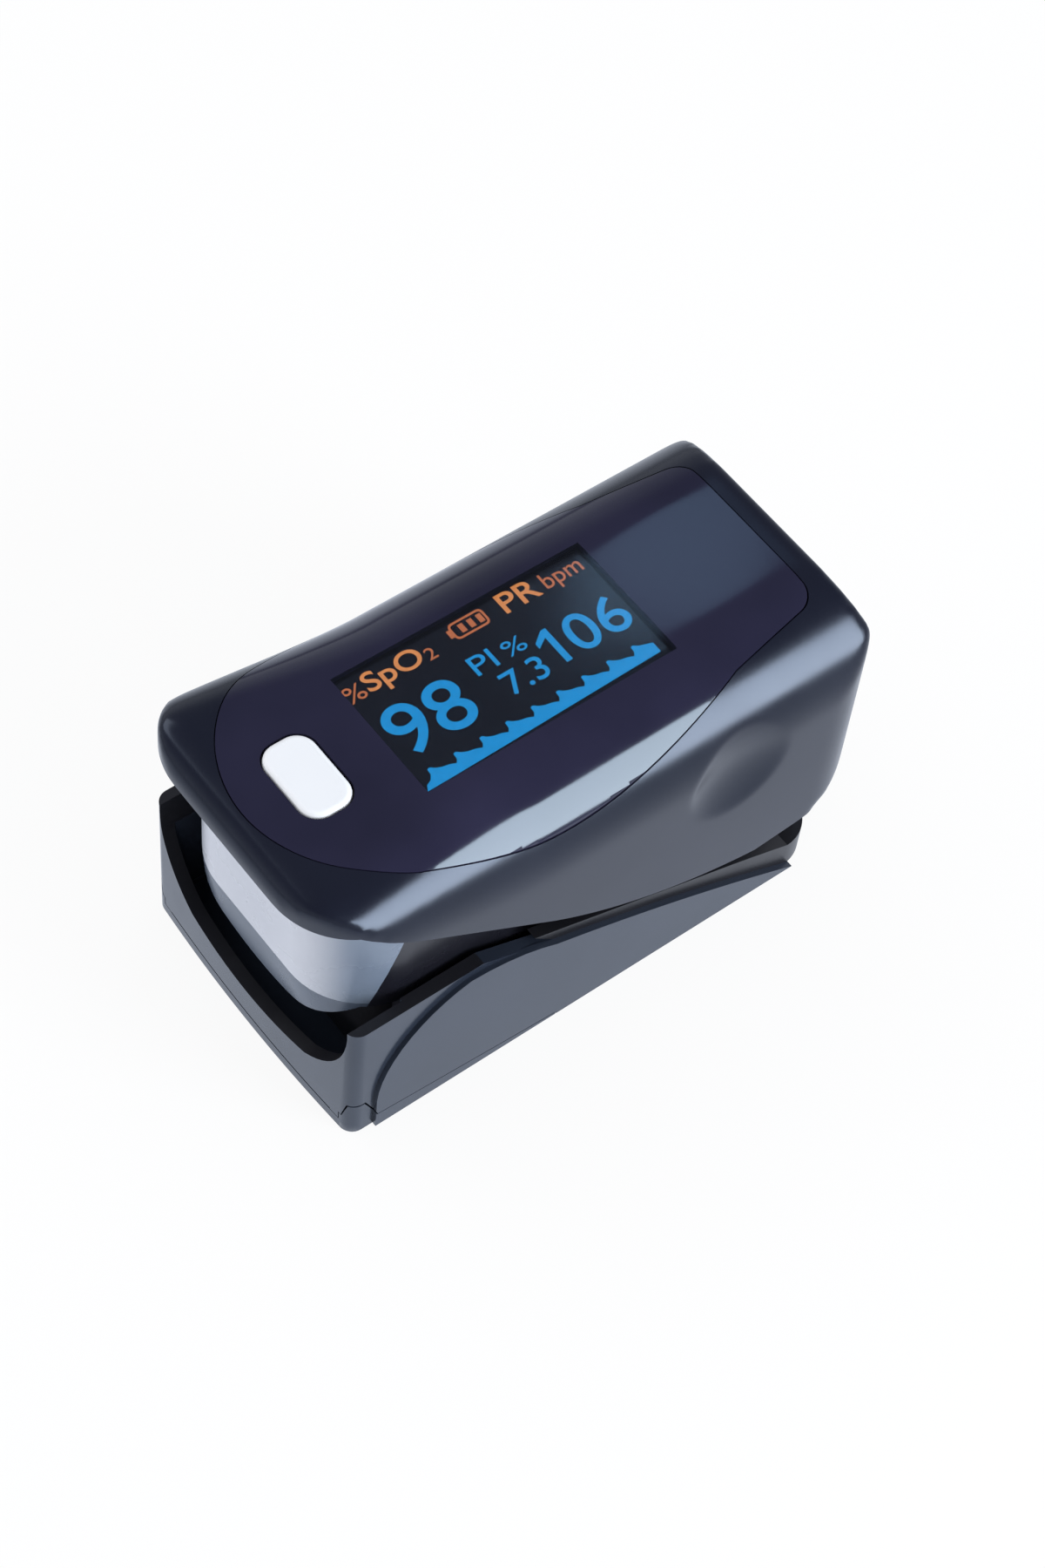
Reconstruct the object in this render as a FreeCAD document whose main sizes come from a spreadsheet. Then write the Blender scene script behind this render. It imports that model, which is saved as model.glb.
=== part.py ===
"""Fingertip pulse oximeter: two jaws that hinge about a cross axis and clip on a finger.

Millimetres. +X runs from the button end (nose) to the finger end (tail), +Y to the left, +Z up.
The origin is the middle of the base, on the surface that the object stands on.
"""

import FreeCAD, Part
import os
import Sketcher
from types import SimpleNamespace

from FreeCAD import Placement, Rotation, Vector

SIZES = {
    # Whole object
    "overall_length": 60.7,
    "overall_height": 33.0,
    "fit_gap": 0.1,
    # Top cover: a wedge, thin over the nose and deep at the cheeks beside the finger hole
    "cover_width": 30.1,
    "cover_wall": 2.0,
    "shoulder_radius": 9.2,
    "nose_shoulder_radius": 4.6,
    "shoulder_full_x": -8.0,
    "nose_corner_radius": 8.0,
    "tail_corner_radius": 6.0,
    "nose_round": 2.4,
    "brow_thickness": 2.9,
    "brow_length": 5.4,
    "brow_bend": 1.5,
    "brow_drop": 0.9,
    "cheek_bend_x": -6.3,
    "cheek_bend_z": 16.3,
    "cheek_sweep_x": 8.2,
    "cheek_sweep_z": 9.2,
    "cheek_low_x": 17.6,
    "cheek_low_z": 6.8,
    "tail_foot_x": 24.6,
    "tail_foot_z": 7.5,
    "tail_belly_z": 18.5,
    "tail_top_setback": 3.1,
    "dimple_x": 13.4,
    "dimple_z": 22.5,
    "dimple_radius": 5.4,
    "dimple_depth": 1.0,
    # Leaf-shaped display window, set flush into the cover
    "window_thickness": 1.1,
    "window_nose_setback": 1.85,
    "window_shoulder_x": -19.5,
    "window_shoulder_y": 12.2,
    "window_widest_x": -3.7,
    "window_widest_y": 14.0,
    "window_waist_x": 15.0,
    "window_waist_y": 10.9,
    "window_tail_x": 25.0,
    "window_tail_y": 9.3,
    "window_corner": 1.6,
    # Display
    "display_setback": 28.65,
    "display_length": 30.4,
    "display_width": 17.0,
    "display_thickness": 1.3,
    "display_gap": 0.45,
    "tape_length": 26.2,
    "tape_width": 13.8,
    # Main board, in the upper housing's tub
    "board_front_x": -23.8,
    "board_length": 45.8,
    "board_width": 21.0,
    "board_thickness": 1.0,
    "board_drop": 6.4,
    "chip_thickness": 1.0,
    "processor_side": 7.0,
    "driver_length": 4.0,
    "driver_width": 5.0,
    "charger_side": 3.0,
    "memory_length": 5.0,
    "memory_width": 2.5,
    # Power button and its switch
    "button_setback": 8.35,
    "button_length": 5.0,
    "button_width": 8.4,
    "button_corner": 1.9,
    "button_clearance": 0.15,
    "button_rim_round": 0.4,
    "button_proud": 0.25,
    "button_travel": 0.4,
    "flange_rim": 0.8,
    "flange_thickness": 0.8,
    "button_stem_radius": 1.3,
    "switch_side": 4.5,
    "switch_thickness": 0.6,
    "switch_plunger_radius": 0.9,
    # Screws that join the cover to the upper housing
    "cover_screw_front_x": -21.4,
    "cover_screw_rear_x": 19.4,
    "cover_screw_y": 8.3,
    "boss_radius": 1.5,
    "boss_shoulder": 0.8,
    "screw_radius": 0.6,
    "screw_head_radius": 1.3,
    "screw_head_thickness": 0.7,
    "screw_length": 4.2,
    # Upper housing: tub for the board, ceiling of the finger hole, front skirt and hinge cheeks
    "housing_width": 25.8,
    "housing_wall": 0.9,
    "skirt_setback": 3.05,
    "skirt_wall": 1.0,
    "skirt_corner_radius": 7.5,
    "skirt_crease_z": 14.6,
    "skirt_tuck": 0.6,
    "skirt_low_z": 9.0,
    "skirt_side_z": 14.2,
    "skirt_arch_half": 11.5,
    "skirt_end_x": -21.0,
    "housing_side_z": 13.0,
    "housing_tail_x": 27.4,
    "housing_tail_corner": 4.0,
    "ceiling_z": 21.9,
    "ceiling_thickness": 1.0,
    "mouth_width": 23.9,
    "mouth_corner": 5.0,
    # Finger pads
    "pad_front_x": -17.0,
    "pad_stop": 3.0,
    "pad_width": 20.8,
    "pad_skin": 1.3,
    "pad_part_z": 17.2,
    "pad_gap": 0.8,
    "finger_radius": 19.5,
    "pad_tail_x": 26.0,
    # Light source and sensor, face to face across the finger
    "sensor_x": 6.0,
    "lens_side": 6.0,
    "lens_thickness": 0.4,
    "emitter_side": 4.0,
    "sensor_board_side": 8.0,
    "sensor_board_thickness": 0.5,
    "photodiode_side": 3.0,
    # Hinge
    "hinge_x": 0.0,
    "hinge_z": 16.0,
    "pin_radius": 1.0,
    "pin_clearance": 0.05,
    "ear_radius": 2.8,
    # Jaw springs and ribbon cable, in front of the finger stop
    "spring_x": -20.4,
    "spring_y": 5.0,
    "spring_radius": 1.5,
    "spring_wire": 0.4,
    "spring_turns": 6,
    "ribbon_x": -18.1,
    "ribbon_width": 6.0,
    "ribbon_thickness": 0.3,
    # Lower frame: battery bay, finger floor, hinge ears and rear foot
    "frame_width": 23.4,
    "frame_wall": 0.8,
    "frame_corner": 2.5,
    "frame_front_x": -22.3,
    "frame_back_x": 26.1,
    "frame_top_z": 13.4,
    "band_start_x": -8.2,
    "band_start_z": 14.9,
    "band_sweep_x": 9.6,
    "band_sweep_z": 8.2,
    "band_tail_x": 22.3,
    "band_tail_z": 3.3,
    "band_setback": 0.15,
    "foot_x": 26.3,
    "foot_length": 4.2,
    # Batteries: two AAA cells and their contacts
    "battery_length": 44.5,
    "battery_radius": 5.25,
    "battery_spacing": 10.8,
    "battery_z": 6.65,
    "terminal_length": 1.0,
    "terminal_radius": 1.9,
    "contact_thickness": 0.3,
    "contact_width": 18.0,
    "contact_height": 8.0,
    "battery_spring_radius": 2.4,
    "battery_spring_turns": 3,
    # Lower shell with its side wings
    "shell_width": 30.0,
    "shell_wall": 1.3,
    "shell_front_x": -28.0,
    "shell_bow": 0.5,
    "shell_corner": 1.4,
    "shell_back_x": 26.4,
    "shell_tail_corner": 4.0,
    "rim_z": 16.3,
    "rim_end_x": -13.9,
    "dip_low_z": 4.8,
    "dip_bend_y": 8.6,
    "dip_bend_z": 6.0,
    "dip_side_y": 12.2,
    "dip_side_z": 9.4,
    "dip_half": 14.0,
    "dip_end_x": -21.8,
    "wing_thickness": 0.45,
    "wing_front_x": -24.9,
    "wing_front_z": 3.0,
    "wing_rise_x": -22.6,
    "wing_rise_z": 10.9,
    "wing_crown_x": -15.5,
    "wing_crown_z": 15.5,
    "wing_fall_x": -6.0,
    "wing_fall_z": 12.8,
    "wing_sweep_x": 9.0,
    "wing_sweep_z": 6.7,
    "wing_end_x": 22.9,
    # Battery door: slides forward off its rails
    "door_thickness": 1.2,
    "door_length": 48.0,
    "door_width": 24.4,
    "door_lip_front_z": 2.35,
    "door_lip_end_x": -5.0,
    "door_lip_end_z": 0.25,
    "door_tab_z": 4.3,
    "door_tab_length": 3.2,
    "door_tab_y": 13.5,
    "door_tab_lean": 0.9,
    "rail_depth": 0.6,
    "rail_thickness": 0.4,
    "rail_z": 0.5,
    "rail_length": 29.0,
    "frame_screw_x": 19.2,
    "frame_screw_inset": 1.2,
    "frame_screw_radius": 0.45,
    "frame_screw_head": 0.9,
    "frame_screw_length": 2.2,
}

PLACES = {
    # Places that follow from the sizes
    "nose_x": "-dims.overall_length / 2",
    "tail_x": "dims.overall_length / 2",
    "skirt_x": "nose_x + dims.skirt_setback",
    "board_z": "dims.overall_height - dims.board_drop",
    "board_top_z": "board_z + dims.board_thickness",
    "display_x": "nose_x + dims.display_setback",
    "display_top_z": "dims.overall_height - dims.window_thickness - dims.display_gap",
    "display_z": "display_top_z - dims.display_thickness",
    "tape_thickness": "display_z - board_top_z",
    "button_x": "nose_x + dims.button_setback",
    "ledge_z": "dims.overall_height - dims.cover_wall",
    "flange_top_z": "ledge_z - dims.fit_gap",
    "flange_z": "flange_top_z - dims.flange_thickness",
    "plunger_top_z": "board_top_z + dims.switch_thickness + dims.switch_thickness / 2",
    "button_foot_z": "plunger_top_z + dims.button_travel + dims.fit_gap / 2",
    "ceiling_top_z": "dims.ceiling_z + dims.ceiling_thickness",
    "finger_floor_z": "dims.frame_top_z + dims.pad_skin - dims.fit_gap",
    "finger_roof_z": "dims.ceiling_z - dims.pad_skin",
    "frame_side_y": "dims.frame_width / 2",
    "bay_side_y": "frame_side_y - dims.frame_wall",
    "housing_side_y": "dims.housing_width / 2",
    "battery_front_x": "dims.frame_front_x + dims.frame_wall + dims.contact_thickness",
    "battery_back_x": "battery_front_x + dims.battery_length",
    "back_contact_x": "dims.frame_back_x - dims.frame_wall - dims.contact_thickness",
    "door_end_x": "dims.shell_front_x + dims.door_length",
    "pin_length": "housing_side_y - bay_side_y",
    "spring_height": "dims.ceiling_z - dims.frame_top_z",
    "frame_screw_y": "dims.shell_width / 2 - dims.frame_screw_inset",
}

doc = FreeCAD.newDocument("pulse_oximeter")


def fill_sheet(name, cells):
    """Adds a spreadsheet whose cells carry their names as aliases."""
    sheet = doc.addObject("Spreadsheet::Sheet", name)
    for row, (alias, content) in enumerate(cells.items(), start=1):
        sheet.set(f"A{row}", alias)
        sheet.set(f"B{row}", content)
        sheet.setAlias(f"B{row}", alias)
    doc.recompute()
    return SimpleNamespace(**{alias: float(sheet.get(alias)) for alias in cells})


dims = fill_sheet("dims", {alias: str(value) for alias, value in SIZES.items()})
places = fill_sheet("places", {alias: "=" + formula for alias, formula in PLACES.items()})

BIG = 2 * dims.overall_length
MIRROR_SIDES = (1, -1)
nodes = []


# Helpers for shapes made with Part's own functions


def wire(*steps):
    """Closed wire through (u, v) points; a step of two points is an arc through the first of them."""
    first = steps[0]
    here = Vector(*first, 0)
    edges = []
    for step in steps[1:] + (first,):
        if isinstance(step[0], tuple):
            via, end = (Vector(*point, 0) for point in step)
            edges.append(Part.Arc(here, via, end).toShape())
        else:
            end = Vector(*step, 0)
            if (end - here).Length > 1e-6:
                edges.append(Part.makeLine(here, end))
        here = end
    return Part.Wire(edges)


def plan_prism(outline, low, high):
    """Stands an outline drawn in X and Y between two heights."""
    solid = Part.Face(outline).extrude(Vector(0, 0, high - low))
    solid.translate(Vector(0, 0, low))
    return solid


def side_prism(outline, low_y, high_y):
    """Extrudes an outline drawn in X and Z between two values of Y."""
    solid = Part.Face(outline).extrude(Vector(0, 0, high_y - low_y))
    solid.rotate(Vector(), Vector(1, 0, 0), 90)
    solid.translate(Vector(0, high_y, 0))
    return solid


def end_section(outline, x):
    """Stands an outline drawn in Y and Z at a value of X."""
    section = outline.copy()
    section.transformShape(Placement(Vector(x, 0, 0), Rotation(Vector(1, 1, 1), 120)).toMatrix())
    return section


def end_prism(outline, low_x, high_x):
    """Extrudes an outline drawn in Y and Z between two values of X."""
    return Part.Face(end_section(outline, low_x)).extrude(Vector(high_x - low_x, 0, 0))


def block(low, high):
    """Box between two corners."""
    low, high = Vector(*low), Vector(*high)
    size = high - low
    return Part.makeBox(size.x, size.y, size.z, low)


def rounded(low, high, front_radius, back_radius, half_width):
    """Plan outline of a rectangle along X with its own corner radius at each end."""
    cut = 1 - 0.5**0.5
    outline = []
    for x_end, way, radius in ((low, 1, front_radius), (high, -1, back_radius)):
        for side in (way, -way):
            straight = (x_end + way * radius, side * -half_width)
            corner = (x_end + way * radius * cut, side * -(half_width - radius * cut))
            end = (x_end, side * -(half_width - radius))
            if side == way:
                outline += [straight, (corner, end)]
            else:
                outline += [end, (corner, straight)]
    return wire(*outline)


def helix_wire(radius, wire_radius, height, turns, foot, direction):
    """Closed-wire coil of round wire standing on a foot point."""
    pitch = (height - 2 * wire_radius) / turns
    path = Part.makeHelix(pitch, pitch * turns, radius)
    circle = Part.Wire(Part.makeCircle(wire_radius, Vector(radius, 0, 0), Vector(0, 1, pitch / 6)))
    coil = Part.Wire(path.Edges).makePipeShell([circle], True, True)
    coil.translate(Vector(0, 0, wire_radius))
    coil.Placement = Placement(foot, Rotation(Vector(0, 0, 1), direction)).multiply(coil.Placement)
    return coil


def add_shape(label, shape):
    """Keeps a finished shape as a node; such shapes are drawn in the part's own frame."""
    node = doc.addObject("Part::Feature", label)
    single = shape.ShapeType == "Compound" and len(shape.Solids) == 1
    node.Shape = shape.Solids[0] if single else shape
    node.Label = label
    nodes.append(node)
    return node


# Helpers for nodes made of Part primitives bound to the sheets


def bind(thing, formulas):
    """Binds properties of a document object to the sheets."""
    for path, formula in formulas.items():
        thing.setExpression(path, formula)
    return thing


def add_box(name, length, width, height, front, z, middle_y="0"):
    """Box that starts at x = front and z, centred on middle_y."""
    return bind(
        doc.addObject("Part::Box", name),
        {
            "Length": length,
            "Width": width,
            "Height": height,
            "Placement.Base.x": front,
            "Placement.Base.y": f"{middle_y} - ({width}) / 2",
            "Placement.Base.z": z,
        },
    )


def add_cylinder(name, radius, height, x, y, z, turn=None):
    """Cylinder from a foot point, along Z or turned onto another axis."""
    thing = doc.addObject("Part::Cylinder", name)
    if turn:
        thing.Placement = Placement(Vector(), turn)
    return bind(
        thing,
        {
            "Radius": radius,
            "Height": height,
            "Placement.Base.x": x,
            "Placement.Base.y": y,
            "Placement.Base.z": z,
        },
    )


def join(name, parts, kind="Part::MultiFuse"):
    """Fuses parts into one solid, or groups them as a compound."""
    thing = doc.addObject(kind, name)
    if kind == "Part::Compound":
        thing.Links = parts
    else:
        thing.Shapes = parts
    return thing


def as_node(thing, label):
    thing.Label = label
    nodes.append(thing)
    return thing


ALONG_X = Rotation(Vector(0, 1, 0), 90)
ALONG_Y = Rotation(Vector(1, 0, 0), -90)

# Top cover


def cover_block(inset):
    """Solid under the cover's skin, brought in by an inset from the top, the sides and both ends."""
    nose = places.nose_x + inset
    tail = places.tail_x - inset
    top = dims.overall_height - inset
    round_off = max(dims.nose_round - inset, 0.2)
    belly = dims.tail_belly_z
    foot = (dims.tail_foot_x - inset, dims.tail_foot_z)
    brow_z = dims.overall_height - dims.brow_thickness
    if inset:
        under = [(foot[0], -1.0), (nose, -1.0)]
    else:
        under = [
            (dims.cheek_low_x, dims.cheek_low_z),
            ((dims.cheek_sweep_x, dims.cheek_sweep_z), (dims.cheek_bend_x, dims.cheek_bend_z)),
            (nose + dims.brow_length, brow_z - dims.brow_drop),
            (nose + dims.brow_length - dims.brow_bend, brow_z),
            (nose, brow_z),
        ]
    outline = wire(
        (nose, top - round_off),
        ((nose + round_off * 0.3, top - round_off * 0.3), (nose + round_off, top)),
        (tail - dims.tail_top_setback, top),
        ((tail - 0.45, (top + belly) / 2), (tail, belly)),
        (((tail + foot[0]) / 2 + 1.6, (belly + foot[1]) / 2 - 1.2), foot),
        *under,
    )
    half = dims.cover_width / 2 - inset
    profile = side_prism(outline, -half - 1, half + 1)
    plan = rounded(nose, tail, dims.nose_corner_radius - inset, dims.tail_corner_radius - inset, half)
    solid = profile.common(plan_prism(plan, -2.0, top + 1))

    def arch(shoulder, x):
        bend = shoulder * (1 - 0.5**0.5)
        section = wire(
            (-half, -2.0),
            (-half, top - shoulder),
            ((-half + bend, top - bend), (-half + shoulder, top)),
            (half - shoulder, top),
            ((half - bend, top - bend), (half, top - shoulder)),
            (half, -2.0),
        )
        return end_section(section, x)

    full = arch(dims.shoulder_radius - inset, dims.shoulder_full_x)
    front = Part.makeLoft([arch(dims.nose_shoulder_radius - inset, nose), full], True, True)
    rear = Part.makeLoft([full, arch(dims.shoulder_radius - inset, tail + 1)], True, True)
    return solid.common(front.fuse(rear))


def leaf(grow):
    """The window's outline, grown outward."""
    shoulder = (dims.window_shoulder_x, dims.window_shoulder_y + grow)
    widest = (dims.window_widest_x, dims.window_widest_y + grow)
    waist = (dims.window_waist_x, dims.window_waist_y + grow)
    tail_x, tail_y = dims.window_tail_x + grow, dims.window_tail_y + grow
    corner = dims.window_corner
    bend = corner * (1 - 0.5**0.5)
    nose = (places.nose_x + dims.window_nose_setback - grow, 0.0)
    return wire(
        shoulder,
        (widest, waist),
        (tail_x - corner, tail_y + corner / 8),
        ((tail_x - bend, tail_y - bend), (tail_x, tail_y - corner)),
        (tail_x, corner - tail_y),
        ((tail_x - bend, bend - tail_y), (tail_x - corner, -tail_y - corner / 8)),
        (waist[0], -waist[1]),
        ((widest[0], -widest[1]), (shoulder[0], -shoulder[1])),
        (nose, shoulder),
    )


def button_outline(grow):
    """The button's rounded rectangle in plan, grown outward."""
    half_length = dims.button_length / 2 + grow
    corner = dims.button_corner + grow
    middle = places.button_x
    half_width = dims.button_width / 2 + grow
    return rounded(middle - half_length, middle + half_length, corner, corner, half_width)


def mouth(low_x, high_x, top_z, grow=0.0):
    """Arched finger opening through the tail end."""
    half = dims.mouth_width / 2 + grow
    corner = dims.mouth_corner
    bend = corner * (1 - 0.5**0.5)
    return end_prism(
        wire(
            (-half, -3.0),
            (-half, top_z - corner),
            ((-half + bend, top_z - bend), (-half + corner, top_z)),
            (half - corner, top_z),
            ((half - bend, top_z - bend), (half, top_z - corner)),
            (half, -3.0),
        ),
        low_x,
        high_x,
    )


screw_spots = [
    Vector(x, side * dims.cover_screw_y, 0)
    for x in (dims.cover_screw_front_x, dims.cover_screw_rear_x)
    for side in MIRROR_SIDES
]


def make_top_cover():
    shell = cover_block(0).cut(cover_block(dims.cover_wall))
    shell = shell.cut(mouth(dims.tail_foot_x - 3, places.tail_x + 1, dims.ceiling_z - 0.2))
    for spot in screw_spots:
        low = Part.makeCylinder(dims.boss_radius, BIG, Vector(spot.x, spot.y, places.ceiling_top_z))
        wide_radius = dims.boss_radius + dims.boss_shoulder
        wide = Part.makeCylinder(wide_radius, BIG, Vector(spot.x, spot.y, places.board_top_z))
        shell = shell.fuse(low.fuse(wide).common(cover_block(dims.cover_wall / 2)))
    for spot in screw_spots:
        drill = Part.makeCylinder(
            dims.screw_radius + dims.fit_gap / 2,
            dims.screw_length - dims.ceiling_thickness + dims.fit_gap,
            Vector(spot.x, spot.y, places.ceiling_top_z),
        )
        shell = shell.cut(drill)
    recess_depth = dims.window_thickness + dims.fit_gap / 2
    recess = plan_prism(leaf(0), dims.ceiling_z, BIG).cut(cover_block(recess_depth))
    pocket_half = dims.display_length / 2 + dims.fit_gap
    pocket_side = dims.display_width / 2 + dims.fit_gap
    pocket = block(
        (places.display_x - pocket_half, -pocket_side, places.board_top_z),
        (places.display_x + pocket_half, pocket_side, BIG),
    )
    button_hole = plan_prism(button_outline(dims.button_clearance), places.flange_top_z, BIG)
    shell = shell.cut(recess).cut(pocket).cut(button_hole)
    ball_radius = (dims.dimple_radius**2 + dims.dimple_depth**2) / (2 * dims.dimple_depth)
    ball_y = dims.cover_width / 2 + ball_radius - dims.dimple_depth
    for side in MIRROR_SIDES:
        ball_centre = Vector(dims.dimple_x, side * ball_y, dims.dimple_z)
        shell = shell.cut(Part.makeSphere(ball_radius, ball_centre))
    return shell.removeSplitter()


def make_display_window():
    skin = cover_block(0).cut(cover_block(dims.window_thickness))
    pane = skin.common(plan_prism(leaf(-dims.fit_gap), dims.ceiling_z, BIG))
    return pane.cut(plan_prism(button_outline(dims.button_clearance), 0, BIG))


add_shape("top_cover", make_top_cover())
add_shape("display_window", make_display_window())

# Display, its foam tape, the switch and the optical parts of the upper jaw

as_node(
    add_box(
        "DisplayPanel",
        "dims.display_length",
        "dims.display_width",
        "dims.display_thickness",
        "places.display_x - dims.display_length / 2",
        "places.display_z",
    ),
    "oled_display",
)
as_node(
    add_box(
        "DisplayTape",
        "dims.tape_length",
        "dims.tape_width",
        "places.tape_thickness",
        "places.display_x - dims.tape_length / 2",
        "places.board_top_z",
    ),
    "display_tape",
)
switch_body = add_box(
    "SwitchBody",
    "dims.switch_side",
    "dims.switch_side",
    "dims.switch_thickness",
    "places.button_x - dims.switch_side / 2",
    "places.board_top_z",
)
switch_plunger = add_cylinder(
    "SwitchPlunger",
    "dims.switch_plunger_radius",
    "places.plunger_top_z - places.board_top_z",
    "places.button_x",
    "0",
    "places.board_top_z",
)
as_node(join("Switch", [switch_body, switch_plunger]), "power_switch")
as_node(
    add_box(
        "Emitter",
        "dims.emitter_side",
        "dims.emitter_side",
        "dims.pad_skin - dims.lens_thickness",
        "dims.sensor_x - dims.emitter_side / 2",
        "places.finger_roof_z + dims.lens_thickness",
    ),
    "led_emitter",
)
as_node(
    add_box(
        "EmitterLens",
        "dims.lens_side",
        "dims.lens_side",
        "dims.lens_thickness",
        "dims.sensor_x - dims.lens_side / 2",
        "places.finger_roof_z",
    ),
    "emitter_lens",
)

# Main board: a padded sketch with clearance holes for the cover's bosses


def origin_plane(body, role):
    return next(feature for feature in body.Origin.OriginFeatures if feature.Role == role)


def make_main_board():
    body = doc.addObject("PartDesign::Body", "MainBoard")
    sketch = body.newObject("Sketcher::SketchObject", "BoardOutline")
    sketch.AttachmentSupport = [(origin_plane(body, "XY_Plane"), "")]
    sketch.MapMode = "FlatFace"
    half = dims.board_width / 2
    corners = [
        Vector(0, -half, 0),
        Vector(dims.board_length, -half, 0),
        Vector(dims.board_length, half, 0),
        Vector(0, half, 0),
    ]
    for start, end in zip(corners, corners[1:] + corners[:1]):
        sketch.addGeometry(Part.LineSegment(start, end))
    for line in range(4):
        sketch.addConstraint(Sketcher.Constraint("Coincident", line, 2, (line + 1) % 4, 1))
    for line in (0, 2):
        sketch.addConstraint(Sketcher.Constraint("Horizontal", line))
    sketch.addConstraint(Sketcher.Constraint("Vertical", 1))
    sketch.addConstraint(Sketcher.Constraint("Symmetric", 0, 1, 3, 1, -1))
    sketch.addConstraint(Sketcher.Constraint("PointOnObject", 0, 1, -2))
    for name, line, cell in (("length", 0, "board_length"), ("width", 1, "board_width")):
        index = sketch.addConstraint(Sketcher.Constraint("Distance", line, getattr(dims, cell)))
        sketch.renameConstraint(index, name)
        sketch.setExpression(f"Constraints.{name}", f"dims.{cell}")
    for spot in screw_spots:
        add_board_hole(sketch, spot)
    pad = body.newObject("PartDesign::Pad", "BoardSheet")
    pad.Profile = sketch
    pad.setExpression("Length", "dims.board_thickness")
    bind(body, {"Placement.Base.x": "dims.board_front_x", "Placement.Base.z": "places.board_z"})
    return body


def add_board_hole(sketch, spot):
    """Clearance hole round one of the cover's bosses."""
    place = "rear" if spot.x > 0 else "front"
    side = "left" if spot.y > 0 else "right"
    sign = "" if spot.y > 0 else "-"
    centre = Vector(spot.x - dims.board_front_x, spot.y, 0)
    hole = sketch.addGeometry(Part.Circle(centre, Vector(0, 0, 1), dims.boss_radius + dims.fit_gap))
    measures = (
        ("Radius", (hole,), centre.x, "dims.boss_radius + dims.fit_gap"),
        ("DistanceX", (-1, 1, hole, 3), centre.x, f"dims.cover_screw_{place}_x - dims.board_front_x"),
        ("DistanceY", (-1, 1, hole, 3), centre.y, f"{sign}dims.cover_screw_y"),
    )
    for kind, targets, value, formula in measures:
        start = dims.boss_radius + dims.fit_gap if kind == "Radius" else value
        index = sketch.addConstraint(Sketcher.Constraint(kind, *targets, start))
        name = f"{place}_{side}_{kind.lower()}"
        sketch.renameConstraint(index, name)
        sketch.setExpression(f"Constraints.{name}", formula)


as_node(make_main_board(), "main_board")

chips = [
    add_box(
        name,
        length,
        width,
        "dims.chip_thickness",
        f"dims.board_front_x + dims.board_length * {share} - {length} / 2",
        "places.board_z - dims.chip_thickness",
        middle_y=f"dims.board_width * {side_share}",
    )
    for name, length, width, share, side_share in (
        ("Processor", "dims.processor_side", "dims.processor_side", 0.55, 0.1),
        ("Driver", "dims.driver_length", "dims.driver_width", 0.35, -0.14),
        ("Charger", "dims.charger_side", "dims.charger_side", 0.75, -0.19),
        ("Memory", "dims.memory_length", "dims.memory_width", 0.3, 0.24),
    )
]
as_node(join("Chips", chips, "Part::Compound"), "board_chips")

# Power button: cap, flange that stops it under the cover, and stem over the switch


def make_power_button():
    cap_top = dims.overall_height + dims.button_proud
    cap = plan_prism(button_outline(0), places.flange_z, cap_top)
    rim = [edge for edge in cap.Edges if edge.BoundBox.ZMin > cap_top - 1e-3]
    cap = cap.makeFillet(dims.button_rim_round, rim)
    flange = plan_prism(button_outline(dims.flange_rim), places.flange_z, places.flange_top_z)
    stem_foot = Vector(places.button_x, 0, places.button_foot_z)
    stem_height = places.flange_top_z - places.button_foot_z
    stem = Part.makeCylinder(dims.button_stem_radius, stem_height, stem_foot)
    return cap.fuse(flange).fuse(stem).removeSplitter()


add_shape("power_button", make_power_button())

# Upper housing


def housing_outline(inset):
    """Side view of the housing; the skirt tucks in below its crease."""
    front = places.skirt_x + inset * dims.skirt_wall / dims.housing_wall
    tail = dims.housing_tail_x - inset
    top = dims.overall_height
    if inset:
        low_front = [
            (front + dims.skirt_tuck, dims.skirt_low_z),
            (front + dims.skirt_tuck, -3.0),
            (tail, -3.0),
        ]
    else:
        low_front = [
            (front + dims.skirt_tuck, dims.skirt_low_z),
            (dims.skirt_end_x, dims.skirt_low_z),
            (dims.skirt_end_x, dims.housing_side_z),
            (dims.hinge_x - dims.ear_radius, dims.housing_side_z - 0.2),
            (dims.band_sweep_x, dims.band_sweep_z + 1.1),
            (dims.band_tail_x, dims.band_tail_z + 0.5),
            (dims.foot_x, dims.band_tail_z + 0.5),
            (tail, dims.tail_foot_z + 1.0),
        ]
    return wire((front, top), (front, dims.skirt_crease_z), *low_front, (tail, top))


def housing_block(inset):
    half = places.housing_side_y - inset
    corner = dims.skirt_corner_radius - inset
    front = places.skirt_x + inset * dims.skirt_wall / dims.housing_wall
    tail = dims.housing_tail_x - inset
    tail_corner = dims.housing_tail_corner - inset
    plan = plan_prism(rounded(front, tail, corner, tail_corner, half), -4.0, dims.overall_height)
    return side_prism(housing_outline(inset), -half, half).common(plan)


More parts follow.
